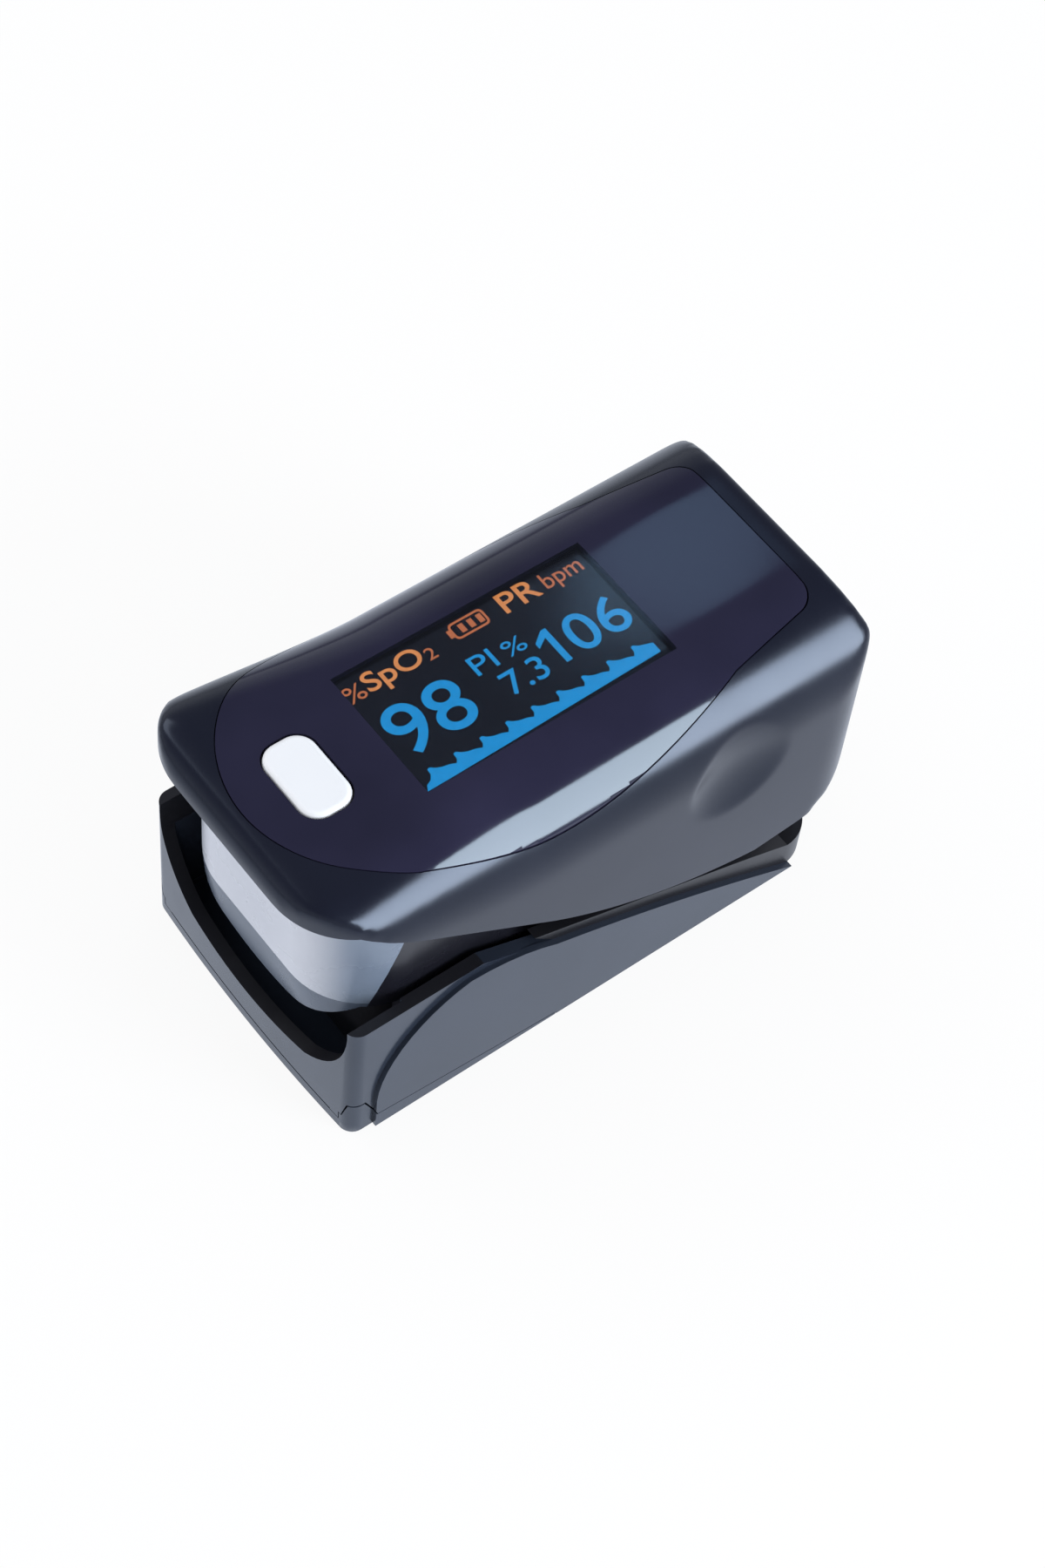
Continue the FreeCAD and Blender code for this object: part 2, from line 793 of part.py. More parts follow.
def make_upper_housing():
    outer = housing_block(0).common(cover_block(dims.cover_wall + dims.fit_gap))
    arch_half = dims.skirt_arch_half
    below_arch = wire(
        (BIG, -3.0),
        (BIG, dims.skirt_side_z),
        (arch_half, dims.skirt_side_z),
        ((0.0, dims.skirt_low_z), (-arch_half, dims.skirt_side_z)),
        (-BIG, dims.skirt_side_z),
        (-BIG, -3.0),
    )
    outer = outer.cut(end_prism(below_arch, places.nose_x, dims.skirt_end_x))
    inner = housing_block(dims.housing_wall)
    tub = inner.common(block((-BIG, -BIG, places.ceiling_top_z), (BIG, BIG, BIG)))
    under = inner.common(block((-BIG, -BIG, -BIG), (BIG, BIG, dims.ceiling_z)))
    housing = outer.cut(tub).cut(under)
    housing = housing.cut(mouth(dims.tail_foot_x - 1, places.tail_x, dims.ceiling_z, dims.fit_gap))
    bore = Part.makeCylinder(
        dims.pin_radius + dims.pin_clearance,
        2 * places.housing_side_y + 2,
        Vector(dims.hinge_x, -places.housing_side_y - 1, dims.hinge_z),
        Vector(0, 1, 0),
    )
    housing = housing.cut(bore)
    for spot in screw_spots:
        shaft = Vector(spot.x, spot.y, dims.ceiling_z - 1)
        housing = housing.cut(Part.makeCylinder(dims.screw_radius + dims.fit_gap, 3.0, shaft))
    slot_half = dims.ribbon_width / 2 + dims.fit_gap
    slot_end_x = dims.ribbon_x + dims.ribbon_thickness + 0.4
    ribbon_slot = block(
        (dims.ribbon_x - 0.4, -slot_half, dims.ceiling_z - 1),
        (slot_end_x, slot_half, places.ceiling_top_z + 1),
    )
    return housing.cut(ribbon_slot).removeSplitter()


add_shape("upper_housing", make_upper_housing())

# Finger pads: soft blocks with a shared trough for the finger


def finger_trough(centre_z, front_x):
    return Part.makeCylinder(dims.finger_radius, BIG, Vector(front_x, 0, centre_z), Vector(1, 0, 0))


def lens_hole(low_z, high_z, side):
    half = side / 2 + dims.fit_gap / 2
    return block((dims.sensor_x - half, -half, low_z), (dims.sensor_x + half, half, high_z))


def make_upper_pad():
    half = dims.pad_width / 2
    part_z = dims.pad_part_z + dims.pad_gap
    outline = wire(
        (dims.pad_front_x, dims.ceiling_z),
        (dims.pad_front_x, places.finger_roof_z),
        (dims.hinge_x, part_z),
        (dims.pad_tail_x, part_z),
        (dims.pad_tail_x, dims.ceiling_z),
    )
    pad = side_prism(outline, -half, half)
    pad = pad.cut(finger_trough(places.finger_roof_z - dims.finger_radius, dims.pad_front_x - 1))
    pad = pad.cut(lens_hole(0, places.finger_roof_z + dims.lens_thickness, dims.lens_side))
    pad = pad.cut(lens_hole(0, BIG, dims.emitter_side))
    for spot in screw_spots:
        head = Vector(spot.x, spot.y, dims.ceiling_z - dims.screw_head_thickness - dims.fit_gap)
        pad = pad.cut(Part.makeCylinder(dims.screw_head_radius + dims.fit_gap, BIG, head))
    return pad.removeSplitter()


def make_lower_pad():
    half = dims.pad_width / 2
    pad = block((dims.pad_front_x, -half, dims.frame_top_z), (dims.pad_tail_x, half, dims.pad_part_z))
    trough_z = places.finger_floor_z + dims.finger_radius
    pad = pad.cut(finger_trough(trough_z, dims.pad_front_x + dims.pad_stop))
    pad = pad.cut(lens_hole(0, dims.frame_top_z + dims.sensor_board_thickness, dims.sensor_board_side))
    return pad.cut(lens_hole(0, BIG, dims.lens_side)).removeSplitter()


add_shape("upper_finger_pad", make_upper_pad())
add_shape("lower_finger_pad", make_lower_pad())

# Sensor under the finger

as_node(
    add_box(
        "SensorBoard",
        "dims.sensor_board_side",
        "dims.sensor_board_side",
        "dims.sensor_board_thickness",
        "dims.sensor_x - dims.sensor_board_side / 2",
        "dims.frame_top_z",
    ),
    "sensor_board",
)
as_node(
    add_box(
        "Photodiode",
        "dims.photodiode_side",
        "dims.photodiode_side",
        "places.finger_floor_z - dims.lens_thickness - dims.frame_top_z - dims.sensor_board_thickness",
        "dims.sensor_x - dims.photodiode_side / 2",
        "dims.frame_top_z + dims.sensor_board_thickness",
    ),
    "photodiode",
)
as_node(
    add_box(
        "SensorLens",
        "dims.lens_side",
        "dims.lens_side",
        "dims.lens_thickness",
        "dims.sensor_x - dims.lens_side / 2",
        "places.finger_floor_z - dims.lens_thickness",
    ),
    "sensor_lens",
)

# Lower shell, its wings and the battery door


def shell_plan(grow):
    """Plan of the lower half, with a bowed front."""
    half = dims.shell_width / 2 + grow
    front = dims.shell_front_x - grow
    back = dims.shell_back_x + grow
    shoulder_x = dims.shell_front_x + dims.shell_bow - grow
    corner = dims.shell_corner + grow
    rear_corner = dims.shell_tail_corner
    bend = corner * (1 - 0.5**0.5)
    rear_bend = rear_corner * (1 - 0.5**0.5)
    return wire(
        (shoulder_x, -half + corner),
        ((front, 0.0), (shoulder_x, half - corner)),
        ((shoulder_x + bend, half - bend), (shoulder_x + corner, half)),
        (back - rear_corner, half),
        ((back - rear_bend, half - rear_bend), (back, half - rear_corner)),
        (back, -half + rear_corner),
        ((back - rear_bend, -half + rear_bend), (back - rear_corner, -half)),
        (shoulder_x + corner, -half),
        ((shoulder_x + bend, -half + bend), (shoulder_x, -half + corner)),
    )


def wing_top():
    """The wing's falling top edge, from its crown to the tail."""
    return [
        (dims.wing_crown_x, dims.wing_crown_z),
        ((dims.wing_crown_x + 4.3, dims.wing_crown_z - 0.6), (dims.wing_fall_x, dims.wing_fall_z)),
        ((dims.wing_sweep_x, dims.wing_sweep_z), (dims.wing_end_x, 0.0)),
    ]


def door_solid(gap):
    """The door, grown by a gap to cut its place in the shell."""
    front = dims.shell_front_x - 2 * gap - 1
    lip = wire(
        (front, 0.0 - gap),
        (front, dims.door_lip_front_z + gap),
        (dims.door_lip_end_x + gap, dims.door_lip_end_z + gap),
        (dims.door_lip_end_x + gap, 0.0 - gap),
    )
    spare = 10 * gap
    beside_wing = block((dims.wing_front_x, -BIG, -1), (BIG, BIG, BIG))
    wing_plan = plan_prism(shell_plan(dims.wing_thickness + spare), -1, BIG)
    lip_plan = plan_prism(shell_plan(spare), -1, BIG).fuse(wing_plan.common(beside_wing))
    tab_y = dims.door_tab_y - gap
    front_step = block((-BIG, -tab_y, dims.door_thickness + gap), (dims.wing_front_x, tab_y, BIG))
    lips = side_prism(lip, -BIG, BIG).common(lip_plan).cut(front_step)
    tab_top = dims.door_tab_z + 2 * gap
    tab_back = dims.shell_front_x + dims.shell_bow + dims.door_tab_length + gap
    tab = side_prism(
        wire(
            (front, 1.0),
            (front, tab_top),
            (tab_back - dims.door_tab_length / 2, tab_top),
            (tab_back, 1.0),
        ),
        -BIG,
        BIG,
    )
    for side in MIRROR_SIDES:
        post = wire(
            (side * tab_y, 1.0),
            (side * (tab_y + dims.door_tab_lean), tab_top),
            (side * BIG, tab_top),
            (side * BIG, 1.0),
        )
        lips = lips.fuse(tab.common(end_prism(post, front, tab_back)).common(lip_plan))
    if not gap:
        hollow = plan_prism(shell_plan(-dims.shell_wall), dims.door_thickness, BIG)
        lips = lips.cut(hollow)
    half = dims.door_width / 2 + gap
    plate = block(
        (dims.shell_front_x + 3, -half, 0.0 - gap),
        (places.door_end_x + gap, half, dims.door_thickness + gap),
    )
    rail_start = front if gap else places.door_end_x - dims.rail_length
    rail_half = half + dims.rail_depth
    rails = block(
        (rail_start - gap, -rail_half, dims.rail_z - gap),
        (places.door_end_x + gap, rail_half, dims.rail_z + dims.rail_thickness + gap),
    )
    return lips.fuse(plate).fuse(rails).removeSplitter()


def make_lower_shell():
    side_view = wire(
        (dims.shell_front_x - 2, 0.0),
        (dims.shell_front_x - 2, dims.rim_z),
        (dims.rim_end_x, dims.rim_z),
        (dims.wing_fall_x, dims.wing_fall_z),
        *wing_top()[2:],
    )
    outer = side_prism(side_view, -BIG, BIG).common(plan_prism(shell_plan(0), -1, BIG))
    hollow = plan_prism(shell_plan(-dims.shell_wall), dims.shell_wall, BIG)
    well_half = dims.door_width / 2 + dims.fit_gap
    well = block((dims.shell_front_x, -well_half, -1), (BIG, well_half, dims.shell_wall + dims.fit_gap))
    shell = outer.cut(hollow)
    shell = shell.cut(well)
    dip = wire(
        (dims.dip_half, dims.rim_z),
        (dims.dip_half, BIG),
        (-dims.dip_half, BIG),
        (-dims.dip_half, dims.rim_z),
        ((-dims.dip_side_y, dims.dip_side_z), (-dims.dip_bend_y, dims.dip_bend_z)),
        ((0.0, dims.dip_low_z), (dims.dip_bend_y, dims.dip_bend_z)),
        ((dims.dip_side_y, dims.dip_side_z), (dims.dip_half, dims.rim_z)),
    )
    shell = shell.cut(end_prism(dip, -BIG, dims.dip_end_x))
    wing_view = wire(
        (dims.wing_front_x, 0.0),
        (dims.wing_front_x, dims.wing_front_z),
        ((dims.wing_rise_x, dims.wing_rise_z), (dims.wing_crown_x, dims.wing_crown_z)),
        *wing_top()[1:],
    )
    skin = plan_prism(shell_plan(dims.wing_thickness), 0, BIG).cut(plan_prism(shell_plan(-0.2), -1, BIG))
    for side in MIRROR_SIDES:
        low, high = sorted((side * 6.0, side * BIG))
        shell = shell.fuse(skin.common(side_prism(wing_view, low, high)))
    shell = shell.cut(door_solid(dims.fit_gap))
    for side in MIRROR_SIDES:
        foot = Vector(dims.frame_screw_x, side * places.frame_screw_y, -1)
        head_room = 1 + dims.screw_head_thickness
        shell = shell.cut(Part.makeCylinder(dims.frame_screw_head + dims.fit_gap, head_room, foot))
        shell = shell.cut(Part.makeCylinder(dims.frame_screw_radius + dims.fit_gap, 6.0, foot))
    return shell.removeSplitter()


add_shape("lower_shell", make_lower_shell())
add_shape("battery_door", door_solid(0))

# Lower frame


def make_lower_frame():
    side = places.frame_side_y
    top = dims.frame_top_z
    tray_plan = rounded(dims.frame_front_x, dims.frame_back_x, dims.frame_corner, 0.5, side)
    outer = plan_prism(tray_plan, dims.door_thickness + dims.fit_gap, top)
    bay = block(
        (dims.frame_front_x + dims.frame_wall, -places.bay_side_y, -1),
        (dims.frame_back_x - dims.frame_wall, places.bay_side_y, top - dims.frame_wall),
    )
    band_top = [
        (dims.foot_x - 0.2, dims.band_tail_z),
        (dims.band_tail_x, dims.band_tail_z),
        ((dims.band_sweep_x + 6.5, dims.band_sweep_z - 2.4), (dims.band_sweep_x, dims.band_sweep_z)),
        (dims.band_start_x, dims.band_start_z),
    ]
    band_view = wire(
        (dims.wing_end_x, 0.0),
        (dims.foot_x, 0.0),
        *band_top,
        (dims.wing_fall_x, dims.wing_fall_z),
        ((dims.wing_sweep_x, dims.wing_sweep_z), (dims.wing_end_x, 0.0)),
    )
    skin = plan_prism(shell_plan(-dims.band_setback), -1, BIG)
    hollow = plan_prism(shell_plan(-dims.shell_wall), -2, BIG)
    tail_block_x = dims.foot_x - dims.foot_length * 2.75
    cut_back = block((-BIG, -BIG, -3), (tail_block_x, BIG, BIG))
    band = side_prism(band_view, -BIG, BIG).common(skin).cut(hollow.common(cut_back))
    bay_end_x = dims.frame_back_x - dims.frame_wall
    band = band.cut(
        block(
            (tail_block_x - 0.5, -places.bay_side_y, dims.shell_wall),
            (bay_end_x, places.bay_side_y, BIG),
        )
    )
    floor = block(
        (places.door_end_x + 2 * dims.fit_gap, -dims.door_width / 2, 0.0),
        (dims.frame_back_x - 1, dims.door_width / 2, dims.shell_wall),
    )
    frame = outer.cut(bay).fuse(band).fuse(floor)
    for sign in MIRROR_SIDES:
        low, high = sorted((sign * places.bay_side_y, sign * side))
        ear = block(
            (dims.hinge_x - dims.ear_radius, low, top - 1),
            (dims.hinge_x + dims.ear_radius, high, dims.hinge_z),
        )
        ear_centre = Vector(dims.hinge_x, low, dims.hinge_z)
        ear_round = Part.makeCylinder(dims.ear_radius, high - low, ear_centre, Vector(0, 1, 0))
        frame = frame.fuse(ear).fuse(ear_round)
    bore_start = Vector(dims.hinge_x, -side - 1, dims.hinge_z)
    pin_bore = Part.makeCylinder(dims.pin_radius, 2 * side + 2, bore_start, Vector(0, 1, 0))
    frame = frame.cut(pin_bore)
    ribbon_slot = block(
        (dims.ribbon_x - 0.2, -dims.ribbon_width / 2 - 0.2, top - 1.5),
        (dims.ribbon_x + dims.ribbon_thickness + 0.2, dims.ribbon_width / 2 + 0.2, top + 1),
    )
    frame = frame.cut(ribbon_slot)
    for sign in MIRROR_SIDES:
        drill = Vector(dims.frame_screw_x, sign * places.frame_screw_y, -1)
        frame = frame.cut(Part.makeCylinder(dims.frame_screw_radius, 1 + dims.frame_screw_length, drill))
    return frame.removeSplitter()


add_shape("lower_frame", make_lower_frame())

# Hinge pins, pressed in the frame's ears and running in the housing's cheeks

for name, start in (("left", "places.bay_side_y"), ("right", "-places.housing_side_y")):
    pin = add_cylinder(
        f"HingePin{name}",
        "dims.pin_radius",
        "places.pin_length",
        "dims.hinge_x",
        start,
        "dims.hinge_z",
        ALONG_Y,
    )
    as_node(pin, f"hinge_pin_{name}")

# Batteries with their contacts

for name, sign in (("left", "1"), ("right", "-1")):
    middle_y = f"{sign} * dims.battery_spacing / 2"
    can = add_cylinder(
        f"Can{name}",
        "dims.battery_radius",
        "dims.battery_length - dims.terminal_length",
        "places.battery_front_x + dims.terminal_length",
        middle_y,
        "dims.battery_z",
        ALONG_X,
    )
    terminal = add_cylinder(
        f"Terminal{name}",
        "dims.terminal_radius",
        "dims.battery_length / 2",
        "places.battery_front_x",
        middle_y,
        "dims.battery_z",
        ALONG_X,
    )
    as_node(join(f"Battery{name}", [can, terminal]), f"battery_{name}")

for name, front in (
    ("front_contact_plate", "places.battery_front_x - dims.contact_thickness"),
    ("rear_contact_plate", "places.back_contact_x"),
):
    plate = add_box(
        "Plate_" + name,
        "dims.contact_thickness",
        "dims.contact_width",
        "dims.contact_height",
        front,
        "dims.battery_z - dims.contact_height / 2",
    )
    as_node(plate, name)

battery_coils = [
    helix_wire(
        dims.battery_spring_radius,
        dims.spring_wire / 2,
        places.back_contact_x - places.battery_back_x,
        dims.battery_spring_turns,
        Vector(places.battery_back_x, side * dims.battery_spacing / 2, dims.battery_z),
        Vector(1, 0, 0),
    )
    for side in MIRROR_SIDES
]
add_shape("battery_springs", Part.makeCompound(battery_coils))

for name, side in (("left", 1), ("right", -1)):
    foot = Vector(dims.spring_x, side * dims.spring_y, dims.frame_top_z)
    coil = helix_wire(
        dims.spring_radius,
        dims.spring_wire / 2,
        places.spring_height,
        dims.spring_turns,
        foot,
        Vector(0, 0, 1),
    )
    add_shape(f"jaw_spring_{name}", coil)

# Ribbon cable from the sensor to the main board

as_node(
    add_box(
        "Ribbon",
        "dims.ribbon_thickness",
        "dims.ribbon_width",
        "places.board_z - dims.frame_top_z + dims.frame_wall",
        "dims.ribbon_x",
        "dims.frame_top_z - dims.frame_wall",
    ),
    "flex_cable",
)

# Screws: identical ones share a node


def make_screw(radius, length, head_radius, head_thickness, foot):
    """Screw pointing up, with the underside of its head at the foot point."""
    head = Part.makeCylinder(head_radius, head_thickness, foot - Vector(0, 0, head_thickness))
    return head.fuse(Part.makeCylinder(radius, length, foot)).removeSplitter()


cover_screws = [
    make_screw(
        dims.screw_radius,
        dims.screw_length - dims.fit_gap,
        dims.screw_head_radius,
        dims.screw_head_thickness,
        Vector(spot.x, spot.y, dims.ceiling_z),
    )
    for spot in screw_spots
]
add_shape("cover_screws", Part.makeCompound(cover_screws))

frame_screws = [
    make_screw(
        dims.frame_screw_radius,
        dims.frame_screw_length - dims.screw_head_thickness,
        dims.frame_screw_head,
        dims.screw_head_thickness - 0.2,
        Vector(dims.frame_screw_x, side * places.frame_screw_y, dims.screw_head_thickness),
    )
    for side in MIRROR_SIDES
]
add_shape("frame_screws", Part.makeCompound(frame_screws))

# Check everything, then write one file per node

doc.recompute()
failed = [thing.Name for thing in doc.Objects if {"Invalid", "Error"} & set(thing.State)]
for node in nodes:
    if node.Shape.isNull() or not node.Shape.isValid() or not node.Shape.Solids:
        failed.append(node.Label)
if failed:
    raise RuntimeError("failed: " + ", ".join(failed))

os.makedirs("parts", exist_ok=True)
for node in nodes:
    node.Shape.exportStep(f"parts/{node.Label}.step")
    volume = sum(solid.Volume for solid in node.Shape.Solids)
    print(f"{node.Label}: {len(node.Shape.Solids)} solids, {volume:.1f} mm3, {node.Shape.BoundBox}")
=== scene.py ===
import math

import bpy
from mathutils import Matrix, Vector


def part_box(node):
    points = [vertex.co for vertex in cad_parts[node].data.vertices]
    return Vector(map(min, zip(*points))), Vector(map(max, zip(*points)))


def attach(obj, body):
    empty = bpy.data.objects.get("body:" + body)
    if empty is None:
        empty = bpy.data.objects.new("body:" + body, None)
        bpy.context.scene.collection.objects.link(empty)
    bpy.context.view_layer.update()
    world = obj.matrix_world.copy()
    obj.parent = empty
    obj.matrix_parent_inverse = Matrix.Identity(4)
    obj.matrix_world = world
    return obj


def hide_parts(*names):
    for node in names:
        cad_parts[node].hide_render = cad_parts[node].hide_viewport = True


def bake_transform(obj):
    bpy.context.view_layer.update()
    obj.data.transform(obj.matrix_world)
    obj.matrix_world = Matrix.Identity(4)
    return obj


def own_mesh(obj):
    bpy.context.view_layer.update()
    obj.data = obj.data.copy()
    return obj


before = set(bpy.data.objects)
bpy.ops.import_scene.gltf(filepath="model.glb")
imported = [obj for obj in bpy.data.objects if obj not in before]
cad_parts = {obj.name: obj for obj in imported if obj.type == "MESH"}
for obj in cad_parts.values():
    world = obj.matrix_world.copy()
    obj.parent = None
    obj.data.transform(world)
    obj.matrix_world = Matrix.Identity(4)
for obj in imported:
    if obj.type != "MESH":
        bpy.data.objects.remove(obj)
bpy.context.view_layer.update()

# ---------------------------------------------------------------------------
# Studio: a pale table top, a soft room, three soft boxes and the camera.
# The table and the room look white, and the object keeps a faint shadow on it.
# ---------------------------------------------------------------------------

bpy.context.scene.view_settings.view_transform = "Standard"


def link(tree, source, target):
    tree.links.new(source, target)


def add_node(tree, kind, **settings):
    """Adds a shader node; settings are its properties, or its inputs where a name holds a capital letter."""
    node = tree.nodes.new(kind)
    for key, value in settings.items():
        name = key.replace("_", " ")
        if key[0].isupper() and name in node.inputs:
            node.inputs[name].default_value = value
        else:
            setattr(node, key, value)
    return node


bpy.ops.object.select_all(action="DESELECT")
bpy.ops.mesh.primitive_plane_add(size=6.0, location=(0, 0, 0))
table = bpy.context.object
table.name = "table_top"

paper = bpy.data.materials.new("white_paper")
paper.use_nodes = True
tree = paper.node_tree
tree.nodes.clear()
surface = add_node(tree, "ShaderNodeOutputMaterial")
matt = add_node(tree, "ShaderNodeBsdfDiffuse", Color=(0.86, 0.86, 0.87, 1))
bright = add_node(tree, "ShaderNodeEmission", Color=(1, 1, 1, 1))
# Seen only in reflections, the table glows as a painted pool of light, bright under the object and fading outwards.
reflected_glow_pool = add_node(tree, "ShaderNodeEmission", Color=(0.82, 0.88, 1.0, 1))
rays = add_node(tree, "ShaderNodeLightPath")
where = add_node(tree, "ShaderNodeTexCoord")
reach = add_node(tree, "ShaderNodeVectorMath", operation="LENGTH")
# Falloff of the painted pool of light with distance from the middle.
glow_pool_falloff = add_node(tree, "ShaderNodeValToRGB")
glow_pool_falloff.color_ramp.elements[0].position = 0.04
glow_pool_falloff.color_ramp.elements[0].color = (1, 1, 1, 1)
glow_pool_falloff.color_ramp.elements[1].position = 0.42
glow_pool_falloff.color_ramp.elements[1].color = (0.22, 0.22, 0.22, 1)
seen = add_node(tree, "ShaderNodeMixShader")
mirrored = add_node(tree, "ShaderNodeMixShader")
share = add_node(tree, "ShaderNodeMath", operation="MULTIPLY")
share.inputs[1].default_value = 0.9
link(tree, where.outputs["Object"], reach.inputs[0])
link(tree, reach.outputs["Value"], glow_pool_falloff.inputs["Fac"])
link(tree, glow_pool_falloff.outputs["Color"], reflected_glow_pool.inputs["Strength"])
link(tree, rays.outputs["Is Camera Ray"], share.inputs[0])
link(tree, share.outputs["Value"], seen.inputs["Fac"])
link(tree, matt.outputs["BSDF"], seen.inputs[1])
link(tree, bright.outputs["Emission"], seen.inputs[2])
link(tree, rays.outputs["Is Glossy Ray"], mirrored.inputs["Fac"])
link(tree, seen.outputs["Shader"], mirrored.inputs[1])
link(tree, reflected_glow_pool.outputs["Emission"], mirrored.inputs[2])
link(tree, mirrored.outputs["Shader"], surface.inputs["Surface"])
table.data.materials.append(paper)

room = bpy.data.worlds.new("studio_room")
bpy.context.scene.world = room
room.use_nodes = True
tree = room.node_tree
tree.nodes.clear()
surface = add_node(tree, "ShaderNodeOutputWorld")
dome = add_node(tree, "ShaderNodeBackground", Strength=0.75)
even = add_node(tree, "ShaderNodeBackground", Color=(0.97, 0.98, 1, 1), Strength=0.74)
white = add_node(tree, "ShaderNodeBackground", Color=(1, 1, 1, 1), Strength=1.0)
where = add_node(tree, "ShaderNodeTexCoord")
height = add_node(tree, "ShaderNodeSeparateXYZ")
sky = add_node(tree, "ShaderNodeValToRGB")
sky.color_ramp.elements[0].position = 0.0
sky.color_ramp.elements[0].color = (0.75, 0.78, 0.84, 1)
sky.color_ramp.elements[1].position = 0.62
sky.color_ramp.elements[1].color = (0.20, 0.21, 0.30, 1)
rays = add_node(tree, "ShaderNodeLightPath")
mirrored = add_node(tree, "ShaderNodeMixShader")
seen = add_node(tree, "ShaderNodeMixShader")
link(tree, where.outputs["Generated"], height.inputs["Vector"])
link(tree, height.outputs["Z"], sky.inputs["Fac"])
link(tree, sky.outputs["Color"], dome.inputs["Color"])
link(tree, rays.outputs["Is Glossy Ray"], mirrored.inputs["Fac"])
link(tree, even.outputs["Background"], mirrored.inputs[1])
link(tree, dome.outputs["Background"], mirrored.inputs[2])
link(tree, rays.outputs["Is Camera Ray"], seen.inputs["Fac"])
link(tree, mirrored.outputs["Shader"], seen.inputs[1])
link(tree, white.outputs["Background"], seen.inputs[2])
link(tree, seen.outputs["Shader"], surface.inputs["Surface"])


def soft_box(name, azimuth, elevation, distance, width, height, radiance, colour=(1, 1, 1)):
    """Rectangular light aimed at the object; radiance is its brightness as seen."""
    around, up = math.radians(azimuth), math.radians(elevation)
    away = Vector((math.cos(around) * math.cos(up), math.sin(around) * math.cos(up), math.sin(up)))
    bpy.ops.object.light_add(type="AREA", location=away * distance + Vector((0, 0, 0.015)))
    lamp = bpy.context.object
    lamp.name = name
    lamp.rotation_euler = away.to_track_quat("Z", "Y").to_euler()
    lamp.data.shape = "RECTANGLE"
    lamp.data.size = width
    lamp.data.size_y = height
    lamp.data.energy = radiance * math.pi * width * height
    lamp.data.color = colour
    return lamp


soft_box("side_strip", -64, 17, 0.55, 0.26, 0.32, 12.0, (0.86, 0.93, 1.0))
nose_fill = soft_box("nose_fill", 163, 4, 0.60, 0.36, 0.12, 9.0)
nose_fill.visible_glossy = False
soft_box("rear_fill", 105, 40, 0.70, 0.50, 0.30, 2.2, (0.92, 0.95, 1.0))
soft_box("ceiling_card", 41.5, 50.5, 0.52, 0.045, 0.045, 1.6, (0.50, 0.72, 1.0))

bpy.ops.object.camera_add()
camera = bpy.context.object
camera.name = "camera"
camera.matrix_world = Matrix((
    (0.79364, 0.46610, -0.39101, -0.11417),
    (-0.60429, 0.67842, -0.41783, -0.12414),
    (0.07052, 0.56789, 0.82008, 0.25578),
    (0.0, 0.0, 0.0, 1.0),
))
camera.data.sensor_fit = "AUTO"
camera.data.sensor_width = 36.0
camera.data.lens = 76.157
camera.data.clip_start = 0.01
bpy.context.scene.camera = camera

# ---------------------------------------------------------------------------
# Top cover: one injection moulding in very dark navy ABS, gloss finish.
# A thin visor over the nose that deepens into cheeks beside the finger, with
# round shoulders, a shallow thumb dimple on each side and a recess for the window.
# ---------------------------------------------------------------------------

MM = 0.001


def limits(node):
    """A CAD node's lowest and highest corners in millimetres."""
    low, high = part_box(node)
    return low / MM, high / MM


def arc(start, via, end, steps):
    """Points after start on the arc through three points, in the plane of an outline."""
    (ax, ay), (bx, by), (cx, cy) = start, via, end
    d = 2 * (ax * (by - cy) + bx * (cy - ay) + cx * (ay - by))
    ux = ((ax**2 + ay**2) * (by - cy) + (bx**2 + by**2) * (cy - ay) + (cx**2 + cy**2) * (ay - by)) / d
    uy = ((ax**2 + ay**2) * (cx - bx) + (bx**2 + by**2) * (ax - cx) + (cx**2 + cy**2) * (bx - ax)) / d
    radius = math.hypot(ax - ux, ay - uy)
    first = math.atan2(ay - uy, ax - ux)
    turn = (math.atan2(cy - uy, cx - ux) - first) % math.tau
    if (math.atan2(by - uy, bx - ux) - first) % math.tau > turn:
        turn -= math.tau
    angles = [first + turn * step / steps for step in range(1, steps + 1)]
    return [(ux + radius * math.cos(a), uy + radius * math.sin(a)) for a in angles]


def box(name, low, high):
    """Block between two corners, in millimetres while it is worked on."""
    low, high = Vector(low), Vector(high)
    bpy.ops.object.select_all(action="DESELECT")
    bpy.ops.mesh.primitive_cube_add(size=1, location=(low + high) / 2)
    piece = bpy.context.object
    piece.name = name
    piece.scale = high - low
    bpy.ops.object.transform_apply(location=True, rotation=True, scale=True)
    return piece


PLANES = {"X": (1, 2, 0), "Y": (0, 2, 1), "Z": (0, 1, 2)}


def prism(name, outline, across, low, high):
    """Draws an outline by pulling a vertex from point to point, fills it and pulls it across."""
    first, second, third = PLANES[across]

    def place(point, level):
        spot = Vector((0, 0, 0))
        spot[first], spot[second], spot[third] = point[0], point[1], level
        return spot

    spots = [place(point, low) for point in outline]
    bpy.ops.object.select_all(action="DESELECT")
    bpy.ops.mesh.primitive_plane_add(size=1, location=spots[0])
    piece = bpy.context.object
    piece.name = name
    bpy.ops.object.transform_apply(location=True, rotation=True, scale=True)
    bpy.ops.object.mode_set(mode="EDIT")
    bpy.ops.mesh.merge(type="CENTER")
    for here, there in zip(spots, spots[1:]):
        bpy.ops.mesh.extrude_region_move(TRANSFORM_OT_translate={"value": there - here})
    bpy.ops.mesh.select_all(action="SELECT")
    bpy.ops.mesh.edge_face_add()
    bpy.ops.mesh.extrude_region_move(TRANSFORM_OT_translate={"value": place((0, 0), high - low)})
    bpy.ops.mesh.select_all(action="SELECT")
    bpy.ops.mesh.normals_make_consistent(inside=False)
    bpy.ops.object.mode_set(mode="OBJECT")
    return piece


def activate(piece):
    bpy.ops.object.select_all(action="DESELECT")
    piece.select_set(True)
    bpy.context.view_layer.objects.active = piece


